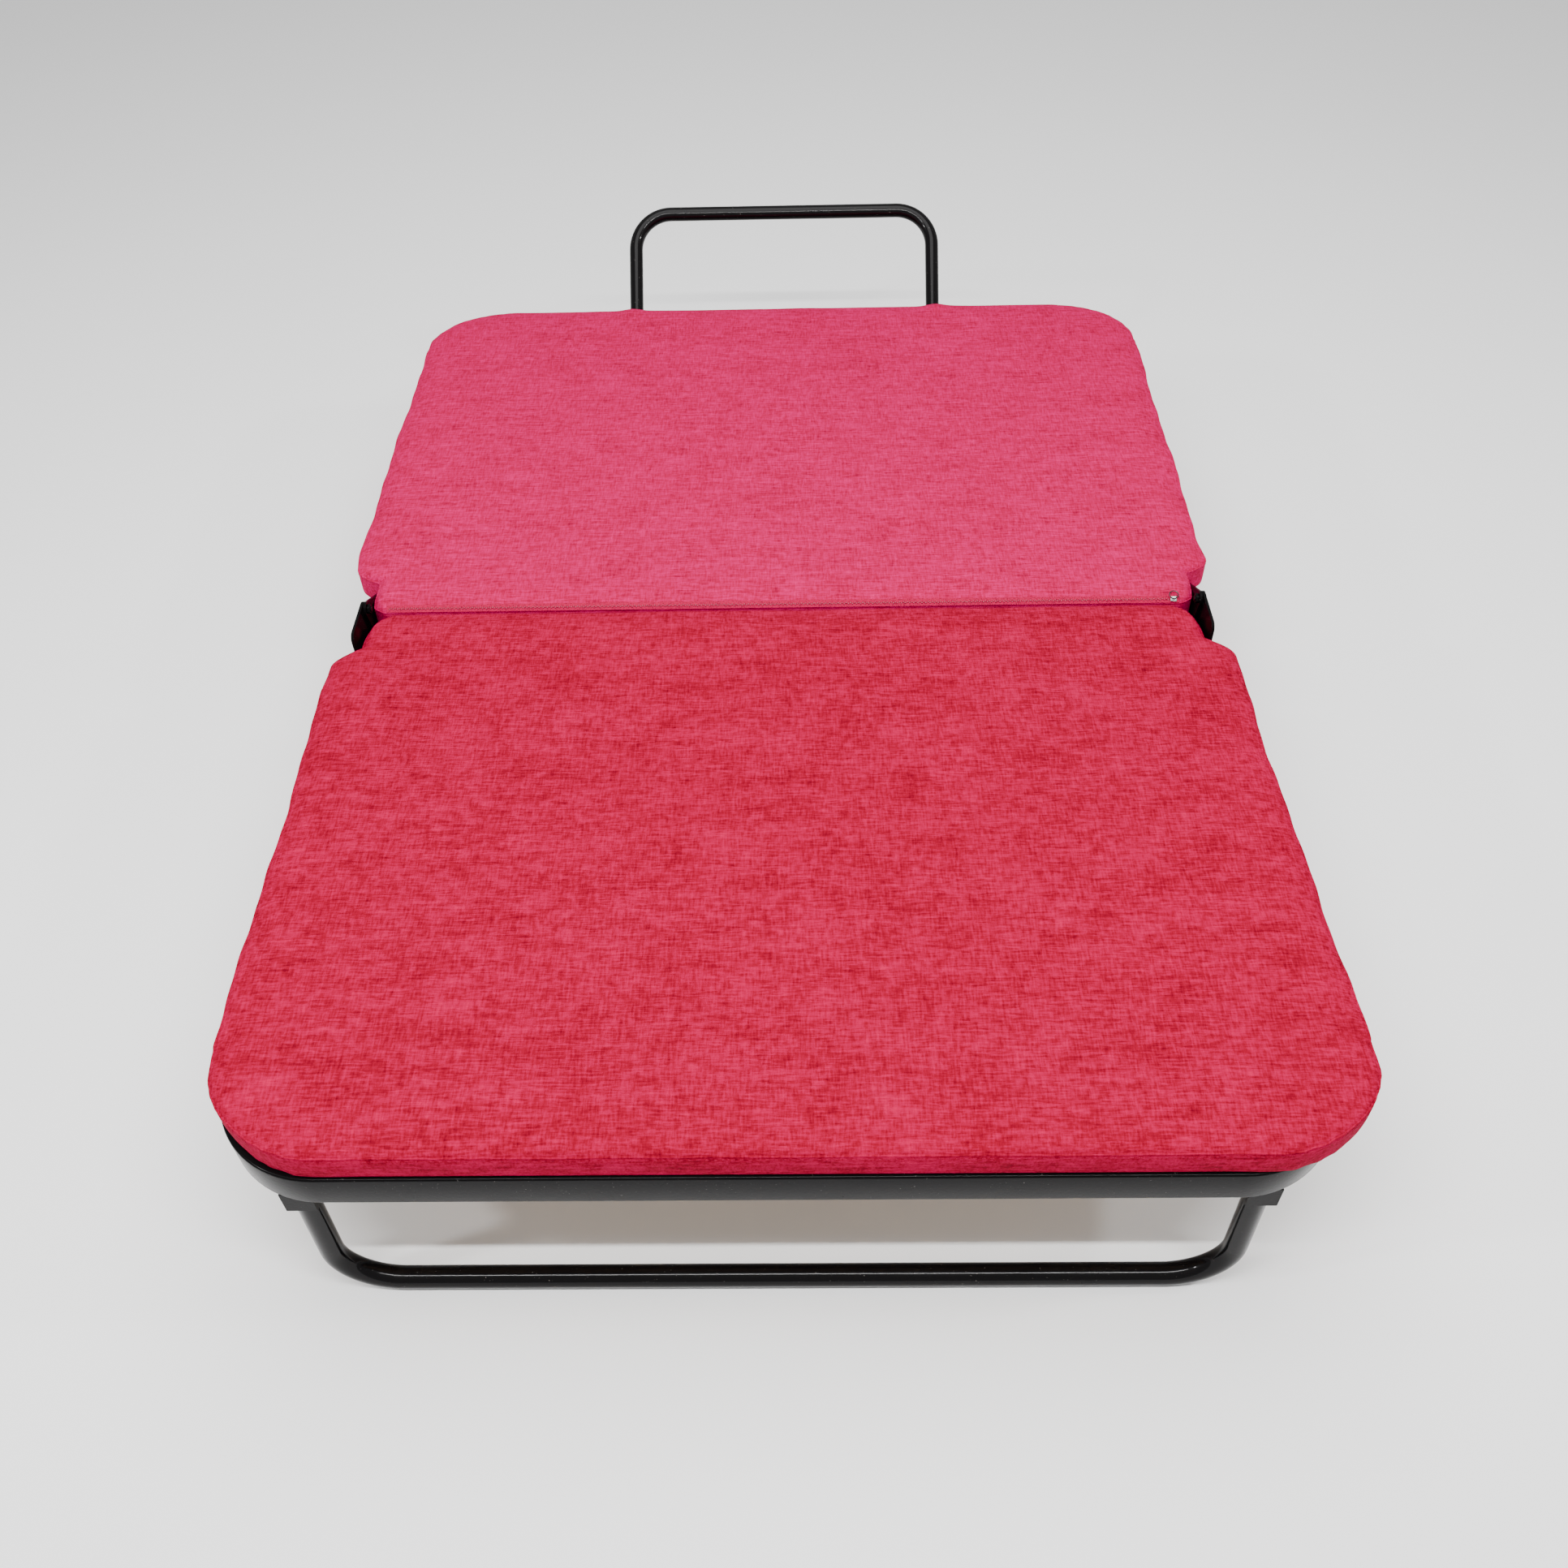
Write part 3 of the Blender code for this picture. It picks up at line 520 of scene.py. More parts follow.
def bend_tube(radius, spread_between, length, bend):
    """A round U bar with its arms' ends cut round, its pivot on the X axis."""
    clear_selection()
    bpy.ops.mesh.primitive_circle_add(vertices=TUBE_SIDES, radius=radius, fill_type="NGON",
                                      location=(-spread_between / 2, 0, 0), rotation=(pi / 2, 0, 0))
    bar = bpy.context.object
    settle(bar)
    bpy.ops.object.mode_set(mode="EDIT")
    bpy.ops.mesh.select_all(action="SELECT")
    draw_u(spread_between, length, bend, TUBE_STEPS)
    bpy.ops.object.mode_set(mode="OBJECT")
    closed_normals(bar)
    for vertex in bar.data.vertices:
        if abs(vertex.co.y) < ON_PIVOT:
            vertex.co.y = -sqrt(max(radius ** 2 - vertex.co.z ** 2, 0.0))
    return bar


def bend_rail(sizes, low, high, fold_y):
    """One rail bar: rounded rectangular tube round both corners, for the head half."""
    width, height = high.x - low.x, high.z - low.z
    start = low.y - fold_y
    spread_between = width - sizes.rail_depth
    clear_selection()
    bpy.ops.mesh.primitive_plane_add(size=1, location=(-spread_between / 2, 0, 0),
                                     rotation=(pi / 2, 0, 0))
    rail = bpy.context.object
    rail.scale = (sizes.rail_depth, height, 1)
    settle(rail)
    bpy.ops.object.mode_set(mode="EDIT")
    bpy.ops.mesh.select_all(action="SELECT")
    bpy.ops.mesh.bevel(offset=sizes.rail_edge, segments=4, affect="VERTICES")
    bpy.ops.mesh.select_all(action="SELECT")
    draw_u(spread_between, high.y - fold_y - start - sizes.rail_depth / 2,
           sizes.corner_radius - sizes.rail_depth / 2, RAIL_STEPS)
    bpy.ops.object.mode_set(mode="OBJECT")
    closed_normals(rail)
    return rail, start


def fold_line():
    """Where the two halves turn on each other: its Y and Z."""
    joint = next(j for j in frame["joints"] if j["name"] == "fold")
    return joint["pos_m"][1], joint["pos_m"][2]


def joint_place(name):
    return Vector(next(j for j in frame["joints"] if j["name"] == name)["pos_m"])


class COT_OT_rails(bpy.types.Operator):
    """Bend the two rails round their corners"""
    bl_idname = "cot.rails"
    bl_label = "Rails"

    def execute(self, context):
        sizes = context.scene.cot_frame
        fold_y, _ = fold_line()
        low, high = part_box("head_rail")
        first, start = bend_rail(sizes, low, high, fold_y)
        second = duplicate(first, "foot_rail_bar")
        middle = Vector((0, fold_y, (low.z + high.z) / 2))
        settle(first, Matrix.Translation(middle + Vector((0, start, 0))))
        settle(second, Matrix.Translation(middle - Vector((0, start, 0))) @ Matrix.Rotation(pi, 4, "Z"))
        for rail, end in ((first, "head"), (second, "foot")):
            finish_piece(rail, f"{end}_rail_bar", finish("gloss enamel"), f"{end}_half",
                         [f"{end}_rail"])
        return {"FINISHED"}


class COT_OT_legs(bpy.types.Operator):
    """Bend the three U legs"""
    bl_idname = "cot.legs"
    bl_label = "Legs"

    def execute(self, context):
        sizes = context.scene.cot_frame
        radius = sizes.leg_tube / 2
        low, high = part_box("foot_leg")
        pivot = joint_place("foot_leg_fold")
        length = (pivot.z - radius) / cos(sizes.leg_splay)
        first = bend_tube(radius, high.x - low.x - sizes.leg_tube, length, sizes.leg_bend)
        for name, outward in LEGS:
            leg = duplicate(first, f"{name}_tube")
            down = Matrix.Rotation(-pi / 2 + outward * sizes.leg_splay, 4, "X")
            settle(leg, Matrix.Translation(joint_place(f"{name}_fold")) @ down)
            finish_piece(leg, f"{name}_tube", finish("tube enamel"), name, [name])
        bpy.data.objects.remove(first)
        return {"FINISHED"}


class COT_OT_headrest(bpy.types.Operator):
    """Bend the headrest bar"""
    bl_idname = "cot.headrest"
    bl_label = "Headrest"

    def execute(self, context):
        sizes = context.scene.cot_frame
        low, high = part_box("headrest_bar")
        bar = bend_tube(sizes.headrest_tube / 2, high.x - low.x - sizes.headrest_tube,
                        sizes.headrest_length, sizes.headrest_bend)
        lean = Matrix.Rotation(sizes.headrest_lean, 4, "X")
        settle(bar, Matrix.Translation(joint_place("headrest_tilt")) @ lean)
        finish_piece(bar, "headrest_tube", finish("tube enamel"), "headrest",
                     ["headrest_bar"])
        return {"FINISHED"}


class COT_OT_fittings(bpy.types.Operator):
    """Paint the bars, plates, brackets, bolts, caps and boards, and round their edges"""
    bl_idname = "cot.fittings"
    bl_label = "Fittings"

    def execute(self, context):
        for name, node in frame["nodes"].items():
            if node.hide_render:
                continue
            material, edge = self.treatment(name)
            node.data.materials.clear()
            node.data.materials.append(finish(material))
            if edge:
                self.round_edges(node, edge)
        return {"FINISHED"}

    @staticmethod
    def treatment(name):
        """A node's finish and the radius of its edges."""
        if name.startswith("hinge_"):
            return "gloss enamel", 0.0006
        if name.endswith(("_bolt", "_nut")):
            return "bronzed plate", 0.0006
        if name.endswith("_deck"):
            return "plywood board", 0.0008
        if "_cap_" in name:
            return "moulded plastic", 0.0004
        if "bracket" in name or "plate" in name:
            return "gloss enamel", 0.0007
        return "gloss enamel", 0

    @staticmethod
    def round_edges(node, edge):
        weld = node.modifiers.new("join faces", "WELD")
        weld.merge_threshold = MERGE
        bevel = node.modifiers.new("round edges", "BEVEL")
        bevel.width = edge
        bevel.segments = 2
        bevel.limit_method = "ANGLE"
        bevel.angle_limit = radians(40)


# ---------------------------------------------------------------- cushions

CORNER_STEPS = 14          # in a block's round corner
FILLING_FRAMES = 20
EDGE_FALL = 0.003          # how far the top falls to its edges
EDGE_REACH = 0.02          # and over what distance
RIPPLE = 0.0007
FOLD_EDGE = 0.012          # size of the rounding that is filled out beside the fold
STEP_FALL = 0.012          # how wide the slope of the corner step is
SHOULDER = {"foot": 0.038, "head": 0.034}  # length of the curve out past a hinge plate
ROOM = 0.0014              # between a cover and a hinge plate or bolt
DRAWN_IN = 0.075           # width of the cover that is drawn in beside a plate
BOLT_REACH = 0.010         # how far a bolt's head reaches from the fold
END_OUT = 0.004            # how far the foot cover's end stands out past the foam
END_WIDTH = 0.03           # and over what length it does
ARM_RISE = 0.006           # how far the headrest's arms push up the head cover
ARM_REACH = 0.022
ARM_INSET = 0.013          # an arm's outer face to its middle
ARM_BACK = 0.014           # the cover's end to the middle of that rise
SIDE_START = 0.50          # where the sides' overhang starts, from the cot's middle
SIDE_WIDTH = 0.13
BOTTOM_EDGE = 0.016        # height over which the sides come down to the rail
ZIP_DEPTH = 0.0016         # the slope under the zip, below the middle of its box
ZIP_REACH = 0.03
STITCH_DROP = 0.0035       # welt down to the stitches
STITCH_SIZE = (0.004, 0.0007)


def points_of(obj):
    points = np.empty(len(obj.data.vertices) * 3)
    obj.data.vertices.foreach_get("co", points)
    return points.reshape(-1, 3)


def set_points(obj, points):
    obj.data.vertices.foreach_set("co", np.ascontiguousarray(points).ravel())
    obj.data.update()


def soft_step(value):
    """0 below 0, 1 above 1, and a smooth rise between them."""
    value = np.clip(value, 0, 1)
    return value * value * (3 - 2 * value)


def round_corners(block, y, radius):
    """Bevel the upright edges of a block at one of its ends."""
    bpy.ops.object.mode_set(mode="EDIT")
    bpy.ops.mesh.select_mode(type="EDGE")
    bpy.ops.mesh.select_all(action="DESELECT")
    bpy.ops.object.mode_set(mode="OBJECT")
    for edge in block.data.edges:
        a, b = (block.data.vertices[i].co for i in edge.vertices)
        edge.select = abs(a.z - b.z) > 0.01 and abs(a.y - y) < 0.001
    bpy.ops.object.mode_set(mode="EDIT")
    bpy.ops.mesh.bevel(offset=radius, segments=CORNER_STEPS, affect="EDGES")
    bpy.ops.object.mode_set(mode="OBJECT")


def block_cushion(end, direction, sizes):
    """The foam block: round corners and a fine even mesh."""
    low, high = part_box(f"{end}_cushion")
    shrink = sizes.shrink
    size = high - low - Vector((2 * shrink, shrink, shrink))
    middle = (low + high) / 2 - Vector((0, direction * shrink / 2, shrink / 2))
    clear_selection()
    bpy.ops.mesh.primitive_cube_add(size=1, location=middle)
    cushion = bpy.context.object
    cushion.scale = size
    settle(cushion)
    round_corners(cushion, middle.y + direction * size.y / 2, sizes.corner)
    round_corners(cushion, middle.y - direction * size.y / 2, sizes.fold_corner)
    remesh = cushion.modifiers.new("even mesh", "REMESH")
    remesh.mode = "VOXEL"
    remesh.voxel_size = sizes.voxel
    apply_modifiers(cushion)
    return cushion, low, high


def fill_cushion(cushion, sizes):
    """Press the cover out from inside, but no further than the swell."""
    before = points_of(cushion)
    cloth = cushion.modifiers.new("Cloth", "CLOTH")
    cloth.settings.use_pressure = True
    cloth.settings.uniform_pressure_force = sizes.pressure
    cloth.settings.effector_weights.gravity = 0
    cloth.settings.quality = 3
    scene = bpy.context.scene
    for number in range(1, FILLING_FRAMES + 1):
        scene.frame_set(number)
    depsgraph = bpy.context.evaluated_depsgraph_get()
    shape = cushion.evaluated_get(depsgraph)
    after = np.empty(len(shape.data.vertices) * 3)
    shape.data.vertices.foreach_get("co", after)
    moved = after.reshape(-1, 3) - before
    cushion.modifiers.remove(cloth)
    scene.frame_set(1)
    length = np.linalg.norm(moved, axis=1, keepdims=True)
    set_points(cushion, before + moved * np.minimum(1, sizes.swell / np.maximum(length, 1e-9)))


def edge_distance(points, along, length, low, high):
    """How far each point is from the cushion's two sides and outer end, seen from above."""
    across = np.minimum(points[:, 0] - low.x, high.x - points[:, 0])
    return np.maximum(np.minimum(across, length - along), 0)


def square_fold_edge(points, along, top):
    """Fill out the rounded top edge beside the fold, and give the new distances from the fold."""
    back, down = 1 - along / FOLD_EDGE, 1 - (top - points[:, 2]) / FOLD_EDGE
    rounded = (back > 0) & (down > 0)
    back, down = np.maximum(back, 1e-6), np.maximum(down, 1e-6)
    stretch = np.hypot(back, down) / (back ** 4 + down ** 4) ** 0.25 - 1
    out = np.where(rounded, back * stretch * FOLD_EDGE, 0)
    points[:, 1] += out
    points[:, 2] += np.where(rounded, down * stretch * FOLD_EDGE, 0)
    return along - out


def refit(points, low, high, top):
    """Stretch the filled cover back to the foam's own box, its crown up to the given top."""
    middle = (low.z + high.z) / 2
    for axis in (0, 1):
        first, last = points[:, axis].min(), points[:, axis].max()
        points[:, axis] = low[axis] + (points[:, axis] - first) / (last - first) * (high[axis] - low[axis])
    crown = (top - middle) / (points[:, 2].max() - middle)
    rise = points[:, 2] - middle
    points[:, 2] = middle + np.where(rise > 0, rise * crown, rise)


def waver_sides(points, along, length, end, sizes):
    """Let the sides stand past the foam in slow uneven waves, and the cover lie a little askew."""
    side = np.sign(points[:, 0])
    near = soft_step((np.abs(points[:, 0]) - SIDE_START) / SIDE_WIDTH)
    phase = 0.8 * side + (1.1 if end == "head" else -1.1)
    wave = (0.0016 * np.sin(along * 17 + phase) + 0.0009 * np.sin(along * 41 + 3 * phase)
            + 0.0005 * np.sin(along * 97 + phase))
    share = np.clip(along / length, 0, 1)
    if end == "foot":
        out = sizes.foot_overhang + sizes.foot_spread * soft_step((share - 0.6) / 0.25)
        drift = sizes.foot_drift * share ** 1.7
    else:
        out = sizes.head_overhang
        drift = sizes.head_drift * soft_step((share - 0.09) / 0.1)
    points[:, 0] += side * near * (out + wave) + drift


def step_corners(points, along, top, sizes, high):
    """Fold the top down at the hinge corners, in a round step above a lower lobe."""
    radius = sizes.step_radius
    across = np.maximum(np.abs(points[:, 0]) - (high.x - radius), 0)
    back = np.maximum(radius - along, 0)
    beyond = np.where((across > 0) & (back > 0), np.hypot(across, back) - radius, 0)
    points[:, 2] -= top * sizes.corner_step * soft_step(beyond / STEP_FALL)


def clear_plates(points, along, end, overhang, high):
    """Draw the sides in beside the hinge plates and bolts, with a round shoulder past them."""
    plate_low, plate_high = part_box("head_hinge_plate_right")
    bolt_low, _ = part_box("hinge_right_bolt")
    fold_y, _ = fold_line()
    beside_bolt = 1 - soft_step((along - BOLT_REACH) / 0.006)
    inner = plate_low.x - ROOM + (bolt_low.x - plate_low.x) * beside_bolt
    full = high.x + overhang
    share = np.clip((along - (plate_high.y - fold_y) - ROOM) / SHOULDER[end], 0, 1)
    past = np.sin(pi / 2 * share) ** 0.8
    limit = inner + (full - inner) * past
    start = plate_low.x - DRAWN_IN
    wide = np.abs(points[:, 0])
    drawn = start + (wide - start) / (full - start) * (limit - start)
    points[:, 0] = np.sign(points[:, 0]) * np.where(wide > start, drawn, wide)


def press_bottom(points, low):
    """Press the underside flat, with a small hard edge where it sits on the rail."""
    rise = points[:, 2] - low.z
    points[:, 2] = low.z + np.maximum(rise, 0) * (0.25 + 0.75 * soft_step(rise / BOTTOM_EDGE))


def shape_cushion(cushion, end, direction, sizes, low, high):
    """Crown the top, pull the sides in at the hinges, press the bottom, and let the cover ripple."""
    points = points_of(cushion)
    fold_y, _ = fold_line()
    high = high.copy()
    if end == "foot":
        high.y = fold_y - sizes.fold_gap
    refit(points, low, high, high.z + sizes.crown)
    along = (points[:, 1] - fold_y) * direction
    length = high.y - low.y
    if end == "foot":
        along = square_fold_edge(points, along, high.z + sizes.crown)
    inside = edge_distance(points, along, length, low, high)
    top = np.clip((points[:, 2] - low.z) / (high.z - low.z) * 2 - 1, 0, 1)
    ripple = (np.sin(points[:, 0] * 21 + 1.3) * np.sin(points[:, 1] * 17 + 0.4)
              + 0.6 * np.sin(points[:, 0] * 47 + points[:, 1] * 31))
    points[:, 2] += top * (RIPPLE * ripple - EDGE_FALL * np.exp(-inside / EDGE_REACH))
    waver_sides(points, along, length, end, sizes)
    if end == "foot":
        step_corners(points, along, top, sizes, high)
        points[:, 1] += direction * END_OUT * soft_step((along - length + END_WIDTH) / END_WIDTH)
    else:
        _, arm_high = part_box("headrest_bar")
        across = np.abs(points[:, 0]) - arm_high.x + ARM_INSET
        away = np.hypot(across, high.y - ARM_BACK - points[:, 1])
        points[:, 2] += top * ARM_RISE * np.exp(-(away / ARM_REACH) ** 2)
    overhang = sizes.foot_overhang if end == "foot" else sizes.head_overhang
    clear_plates(points, along, end, overhang, high)
    press_bottom(points, low)
    if end == "head":
        points = flatten_for_zip(points, low)
    set_points(cushion, points)


def flatten_for_zip(points, low):
    """Keep the fold edge behind the slope that the zip's tape lies on."""
    slope = Vector((0, -1, 1)).normalized()
    zip_low, zip_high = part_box("zip_tape")
    middle_y, middle_z = (zip_low.y + zip_high.y) / 2, (zip_low.z + zip_high.z) / 2
    depth = ((points[:, 1] - middle_y) * slope.y + (points[:, 2] - middle_z) * slope.z) + ZIP_DEPTH
    near = np.abs(points[:, 1] - low.y) < ZIP_REACH
    push = np.where(near, np.maximum(depth, 0), 0)
    points[:, 1] -= push * slope.y
    points[:, 2] -= push * slope.z
    return points


def seam_path(cushion, low, high, z, spacing, stand_off):
    """Points round the cushion's sides at one height, on its surface, with the way out at each."""
    middle = (low + high) / 2
    half_x, half_y = (high.x - low.x) / 2, (high.y - low.y) / 2
    stops = [(half_x, -half_y), (half_x, half_y), (-half_x, half_y), (-half_x, -half_y)]
    path = []
    for (ax, ay), (bx, by) in zip(stops, stops[1:] + stops[:1]):
        steps = max(1, int(hypot(bx - ax, by - ay) / spacing))
        for i in range(steps):
            x, y = ax + (bx - ax) * i / steps, ay + (by - ay) * i / steps
            outside = Vector((middle.x + 1.3 * x, middle.y + 1.3 * y, z))
            target = Vector((middle.x + 0.55 * x, middle.y + 0.55 * y, z))
            hit, place, normal, _ = cushion.ray_cast(outside, (target - outside).normalized())
            if hit:
                out = Vector((normal.x, normal.y, 0)).normalized()
                path.append((place + out * stand_off, out))
    return path


def sew_welt(end, path, radius):
    """A bead round the seam, as one closed cord."""
    curve = bpy.data.curves.new(f"{end}_welt", "CURVE")
    curve.dimensions = "3D"
    curve.bevel_depth = radius
    curve.bevel_resolution = 2
    spline = curve.splines.new("POLY")
    spline.points.add(len(path) - 1)
    spline.use_cyclic_u = True
    for point, (place, _) in zip(spline.points, path):
        point.co = (*place, 1)
    welt = bpy.data.objects.new(f"{end}_welt", curve)
    bpy.context.scene.collection.objects.link(welt)
    pick(welt)
    bpy.ops.object.convert(target="MESH")
    return bpy.context.object


def one_stitch(length, thickness):
    clear_selection()
    bpy.ops.mesh.primitive_cube_add(size=1)
    stitch = bpy.context.object
    stitch.scale = (length, thickness, thickness)
    settle(stitch)
    bpy.ops.object.mode_set(mode="EDIT")
    bpy.ops.mesh.select_all(action="SELECT")
    bpy.ops.mesh.bevel(offset=thickness * 0.3, segments=1, affect="EDGES")
    bpy.ops.object.mode_set(mode="OBJECT")
    return stitch


def repeat_along(shape, places, name):
    """One mesh with a copy of a shape at each place, given as matrices."""
    points = points_of(shape)
    faces = [tuple(polygon.vertices) for polygon in shape.data.polygons]
    all_points, all_faces = [], []
    for number, matrix in enumerate(places):
        turned = points @ np.array(matrix.to_3x3()).T + np.array(matrix.translation)
        all_points.append(turned)
        all_faces += [tuple(i + number * len(points) for i in face) for face in faces]
    mesh = bpy.data.meshes.new(name)
    mesh.from_pydata(np.concatenate(all_points).tolist(), [], all_faces)
    obj = bpy.data.objects.new(name, mesh)
    bpy.context.scene.collection.objects.link(obj)
    bpy.data.objects.remove(shape)
    return obj


def stitch_places(path, pitch):
    """A matrix for each stitch: X along the seam, Y out of the cushion."""
    places, travelled = [], 0.0
    for (here, out), (there, _) in zip(path, path[1:]):
        travelled += (there - here).length
        if travelled < pitch:
            continue
        travelled = 0.0
        along = (there - here).normalized()
        turn = Matrix((along, out, Vector((0, 0, 1)))).transposed().to_4x4()
        places.append(Matrix.Translation(here) @ turn)
    return places


class COT_OT_cushions(bpy.types.Operator):
    """Block, fill and sew the two cushions"""
    bl_idname = "cot.cushions"
    bl_label = "Cushions"

    def execute(self, context):
        sizes = context.scene.cot_cushion
        for end, direction in HALVES:
            cushion, low, high = block_cushion(end, direction, sizes)
            fill_cushion(cushion, sizes)
            smooth = cushion.modifiers.new("soften", "SMOOTH")
            smooth.iterations = 3
            subdivide = cushion.modifiers.new("finer", "SUBSURF")
            subdivide.levels = subdivide.render_levels = 1
            apply_modifiers(cushion)
            shape_cushion(cushion, end, direction, sizes, low, high)
            body, slot = f"{end}_half", f"{end}_velvet"
            finish_piece(cushion, f"{end}_cover", finish(f"{end} velvet"), body,
                         [f"{end}_cushion"], smooth=180)
            self.sew(cushion, end, sizes, low, high)
        return {"FINISHED"}

    @staticmethod
    def sew(cushion, end, sizes, low, high):
        z = high.z - sizes.seam_drop
        path = seam_path(cushion, low, high, z, spacing=0.006, stand_off=0.0)
        welt = sew_welt(end, path, sizes.welt)
        finish_piece(welt, f"{end}_welt", finish(f"{end} velvet"), f"{end}_half",
                     smooth=60)
        path = seam_path(cushion, low, high, z - STITCH_DROP, spacing=0.003, stand_off=0.0001)
        stitches = repeat_along(one_stitch(*STITCH_SIZE), stitch_places(path, sizes.stitch_pitch),
                                f"{end}_stitches")
        finish_piece(stitches, f"{end}_stitches", finish("seam thread"), f"{end}_half")


# ---------------------------------------------------------------- zip

TAPE_SIZE = (0.011, 0.0007)            # width and thickness
TOOTH_SIZE = (0.0021, 0.0024, 0.0013)
TOOTH_PITCH = 0.003
SLIDER_SIZE = (0.0085, 0.0011)         # width and thickness
EYE_SIZE = (0.0024, 0.0040, 0.0022)
RING_WIRE = 0.0008                     # radius


def zip_axes(x):
    """The zip's own axes: X along it, Y up the cushion's sloped edge, Z out of the slope."""
    low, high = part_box("zip_tape")
    middle = Vector((x, (low.y + high.y) / 2, (low.z + high.z) / 2))
    return Matrix.Translation(middle) @ Matrix.Rotation(pi / 4, 4, "X")


def rounded_block(size, edge, segments=2):
    clear_selection()
    bpy.ops.mesh.primitive_cube_add(size=1)
    block = bpy.context.object
    block.scale = size
    settle(block)
    bpy.ops.object.mode_set(mode="EDIT")
    bpy.ops.mesh.select_all(action="SELECT")
    bpy.ops.mesh.bevel(offset=edge, segments=segments, affect="EDGES")
    bpy.ops.object.mode_set(mode="OBJECT")
    return block


class COT_OT_zip(bpy.types.Operator):
    """Make the zip: two tapes, its teeth, the slider and the ring"""
    bl_idname = "cot.zip"
    bl_label = "Zip"

    def execute(self, context):
        low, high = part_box("zip_tape")
        length = high.x - low.x
        tape = rounded_block((length, *TAPE_SIZE), 0.0003, 1)
        settle(tape, zip_axes(0) @ Matrix.Translation((0, 0, -0.0009)))
        finish_piece(tape, "zip_tapes", finish("zip tape"), "head_half", ["zip_tape"])
        self.teeth(length)
        self.slider()
        self.ring()
        return {"FINISHED"}

    @staticmethod
    def teeth(length):
        count = int(length / TOOTH_PITCH) - 2
        places = []
        for number in range(count):
            side = 1 if number % 2 else -1
            offset = Matrix.Translation((0, side * 0.0006, 0.0001))
            places.append(zip_axes(-length / 2 + (number + 1.5) * TOOTH_PITCH) @ offset)
        teeth = repeat_along(rounded_block(TOOTH_SIZE, 0.0004, 1), places, "zip_teeth")
        finish_piece(teeth, "zip_teeth", finish("zip coil"), "head_half")

    @staticmethod
    def slider():
        low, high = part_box("zip_slider")
        body = rounded_block((high.x - low.x, *SLIDER_SIZE), 0.0004)
        middle = (low.x + high.x) / 2
        for vertex in body.data.vertices:
            vertex.co.y *= 0.72 + 0.28 * (0.5 + vertex.co.x / (high.x - low.x))
        settle(body, zip_axes(middle) @ Matrix.Translation((0, 0, 0.0016)))
        eye = rounded_block(EYE_SIZE, 0.0007)
        settle(eye, zip_axes(middle) @ Matrix.Translation((0, 0, 0.0030)))
        pick(body)
        eye.select_set(True)
        bpy.ops.object.join()
        finish_piece(body, "zip_slider_body", finish("zinc plate"), "zip_slider",
                     ["zip_slider"])

    @staticmethod
    def ring():
        low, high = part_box("zip_pull")
        pivot = joint_place("zip_pull_flip")
        clear_selection()
        bpy.ops.mesh.primitive_torus_add(major_segments=40, minor_segments=12,
                                         major_radius=(high.x - low.x) / 2 - RING_WIRE,
                                         minor_radius=RING_WIRE)
        ring = bpy.context.object
        reach = (high.y + low.y) / 2 - pivot.y
        rise = (high.z + low.z) / 2 - pivot.z
        tilt = Matrix.Rotation(atan2(rise, reach), 4, "X")
        settle(ring, Matrix.Translation(pivot + Vector((0, reach, rise))) @ tilt)
        finish_piece(ring, "zip_ring", finish("dark nickel"), "zip_pull", ["zip_pull"])


# ---------------------------------------------------------------- stage

FLOOR_SIZE = 30
DAYLIGHT = 0.65  # strength of the pale surroundings


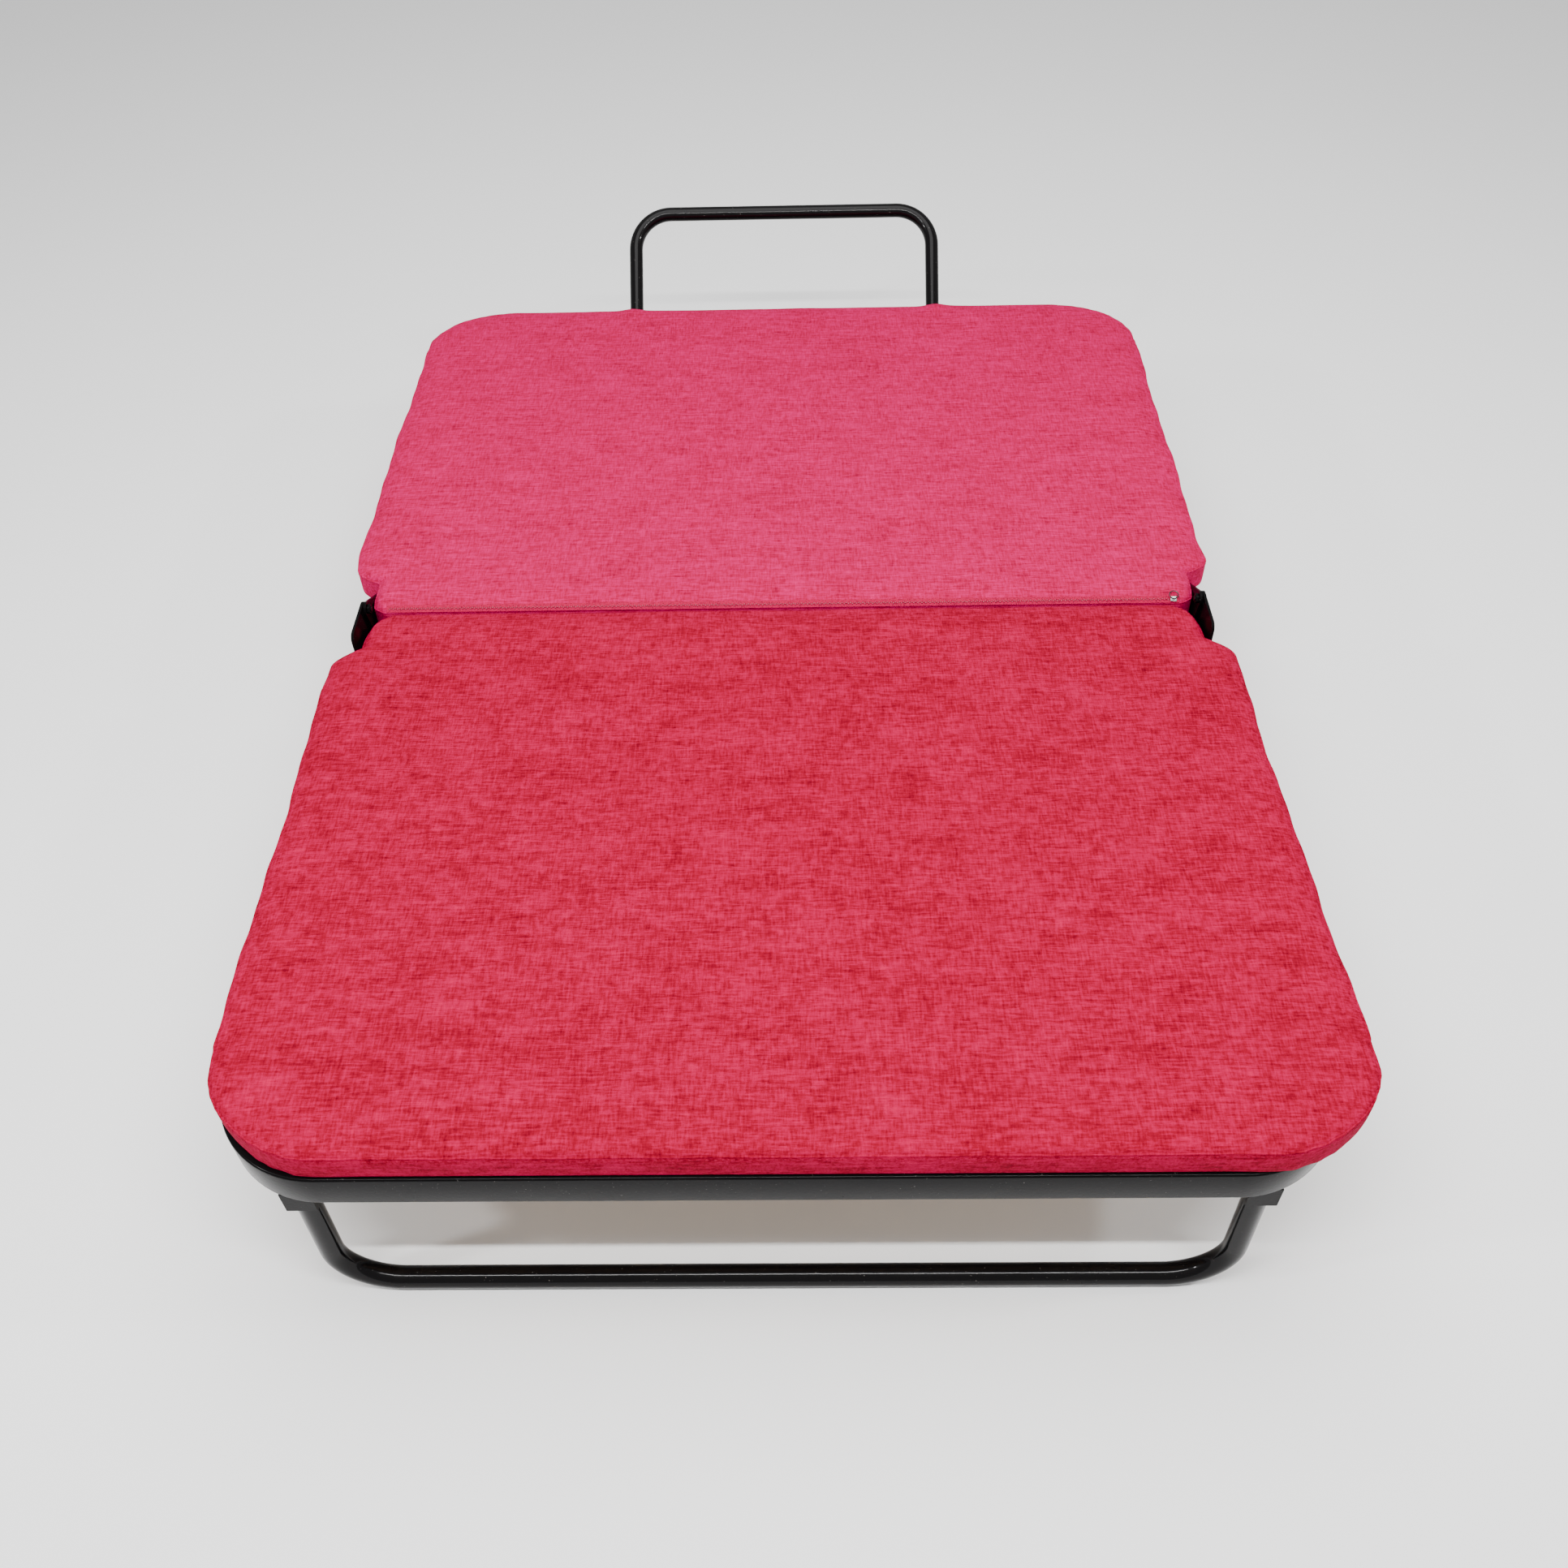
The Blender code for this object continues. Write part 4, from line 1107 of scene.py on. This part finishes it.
class COT_OT_stage(bpy.types.Operator):
    """Lay the floor, and place the lights and the camera"""
    bl_idname = "cot.stage"
    bl_label = "Stage"

    def execute(self, context):
        stage = context.scene.cot_stage
        clear_selection()
        bpy.ops.mesh.primitive_plane_add(size=FLOOR_SIZE)
        floor = bpy.context.object
        floor.name = "floor"
        floor.data.materials.append(floor_paint("pale floor", stage.floor_colour))
        self.light("overhead", (0, 0.2, 3.4), (0, 0, 0.3), size=3.2, power=120)
        self.light("strip", (0, -1.7, 2.8), (0, 0.2, 0.3), size=3.0, power=115, width=0.07)
        self.light("left", (-2.6, -1.6, 2.4), (0, -0.1, 0.3), size=0.25, power=34)
        self.light("right", (2.8, -0.8, 2.6), (0, 0, 0.3), size=0.25, power=28)
        world = bpy.data.worlds.new("studio")
        world.use_nodes = True
        world.node_tree.nodes["Background"].inputs["Color"].default_value = (*WHITE, 1)
        world.node_tree.nodes["Background"].inputs["Strength"].default_value = DAYLIGHT
        context.scene.world = world
        low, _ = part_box("foot_rail")
        data = bpy.data.cameras.new("camera")
        data.lens = stage.lens
        camera = bpy.data.objects.new("camera", data)
        turn = (Matrix.Rotation(stage.camera_turn, 4, "Z")
                @ Matrix.Rotation(pi / 2 - stage.camera_tilt, 4, "X")
                @ Matrix.Rotation(stage.camera_roll, 4, "Z"))
        camera.location = (stage.camera_side, low.y - stage.camera_back, stage.camera_height)
        camera.rotation_euler = turn.to_euler()
        context.scene.collection.objects.link(camera)
        context.scene.camera = camera
        return {"FINISHED"}

    @staticmethod
    def light(name, position, target, size, power, width=None):
        """A round lamp, or a long one where a width is given."""
        data = bpy.data.lights.new(name, "AREA")
        data.shape = "RECTANGLE" if width else "DISK"
        data.size = size
        data.size_y = width or size
        data.energy = power
        light = bpy.data.objects.new(name, data)
        light.visible_camera = False
        light.location = position
        light.rotation_euler = (Vector(target) - Vector(position)).to_track_quat("-Z", "Y").to_euler()
        bpy.context.scene.collection.objects.link(light)


OPERATORS = (COT_OT_rails, COT_OT_legs, COT_OT_headrest, COT_OT_cushions, COT_OT_zip,
             COT_OT_fittings, COT_OT_stage)


class COT_PT_panel(bpy.types.Panel):
    """Lists the cot's operators and settings"""
    bl_label = "Cot"
    bl_space_type = "VIEW_3D"
    bl_region_type = "UI"
    bl_category = "Cot"

    def draw(self, context):
        for operator in OPERATORS:
            self.layout.operator(operator.bl_idname)
        for group in ("cot_frame", "cot_cushion", "cot_colours", "cot_stage"):
            settings = getattr(context.scene, group)
            for name in settings.bl_rna.properties.keys():
                if name not in ("rna_type", "name"):
                    self.layout.prop(settings, name)


GROUPS = {"cot_frame": CotFrameSizes, "cot_cushion": CotCushionSizes,
          "cot_colours": CotColours, "cot_stage": CotStage}
CLASSES = (*GROUPS.values(), *OPERATORS, COT_PT_panel)


def register():
    for cls in CLASSES:
        bpy.utils.register_class(cls)
    for name, group in GROUPS.items():
        setattr(bpy.types.Scene, name, bpy.props.PointerProperty(type=group))


def unregister():
    for name in GROUPS:
        delattr(bpy.types.Scene, name)
    for cls in reversed(CLASSES):
        bpy.utils.unregister_class(cls)


def main():
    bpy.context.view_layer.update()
    register()
    bpy.ops.cot.rails()
    bpy.ops.cot.legs()
    bpy.ops.cot.headrest()
    bpy.ops.cot.cushions()
    bpy.ops.cot.zip()
    bpy.ops.cot.fittings()
    bpy.ops.cot.stage()


if __name__ == "__main__":
    main()
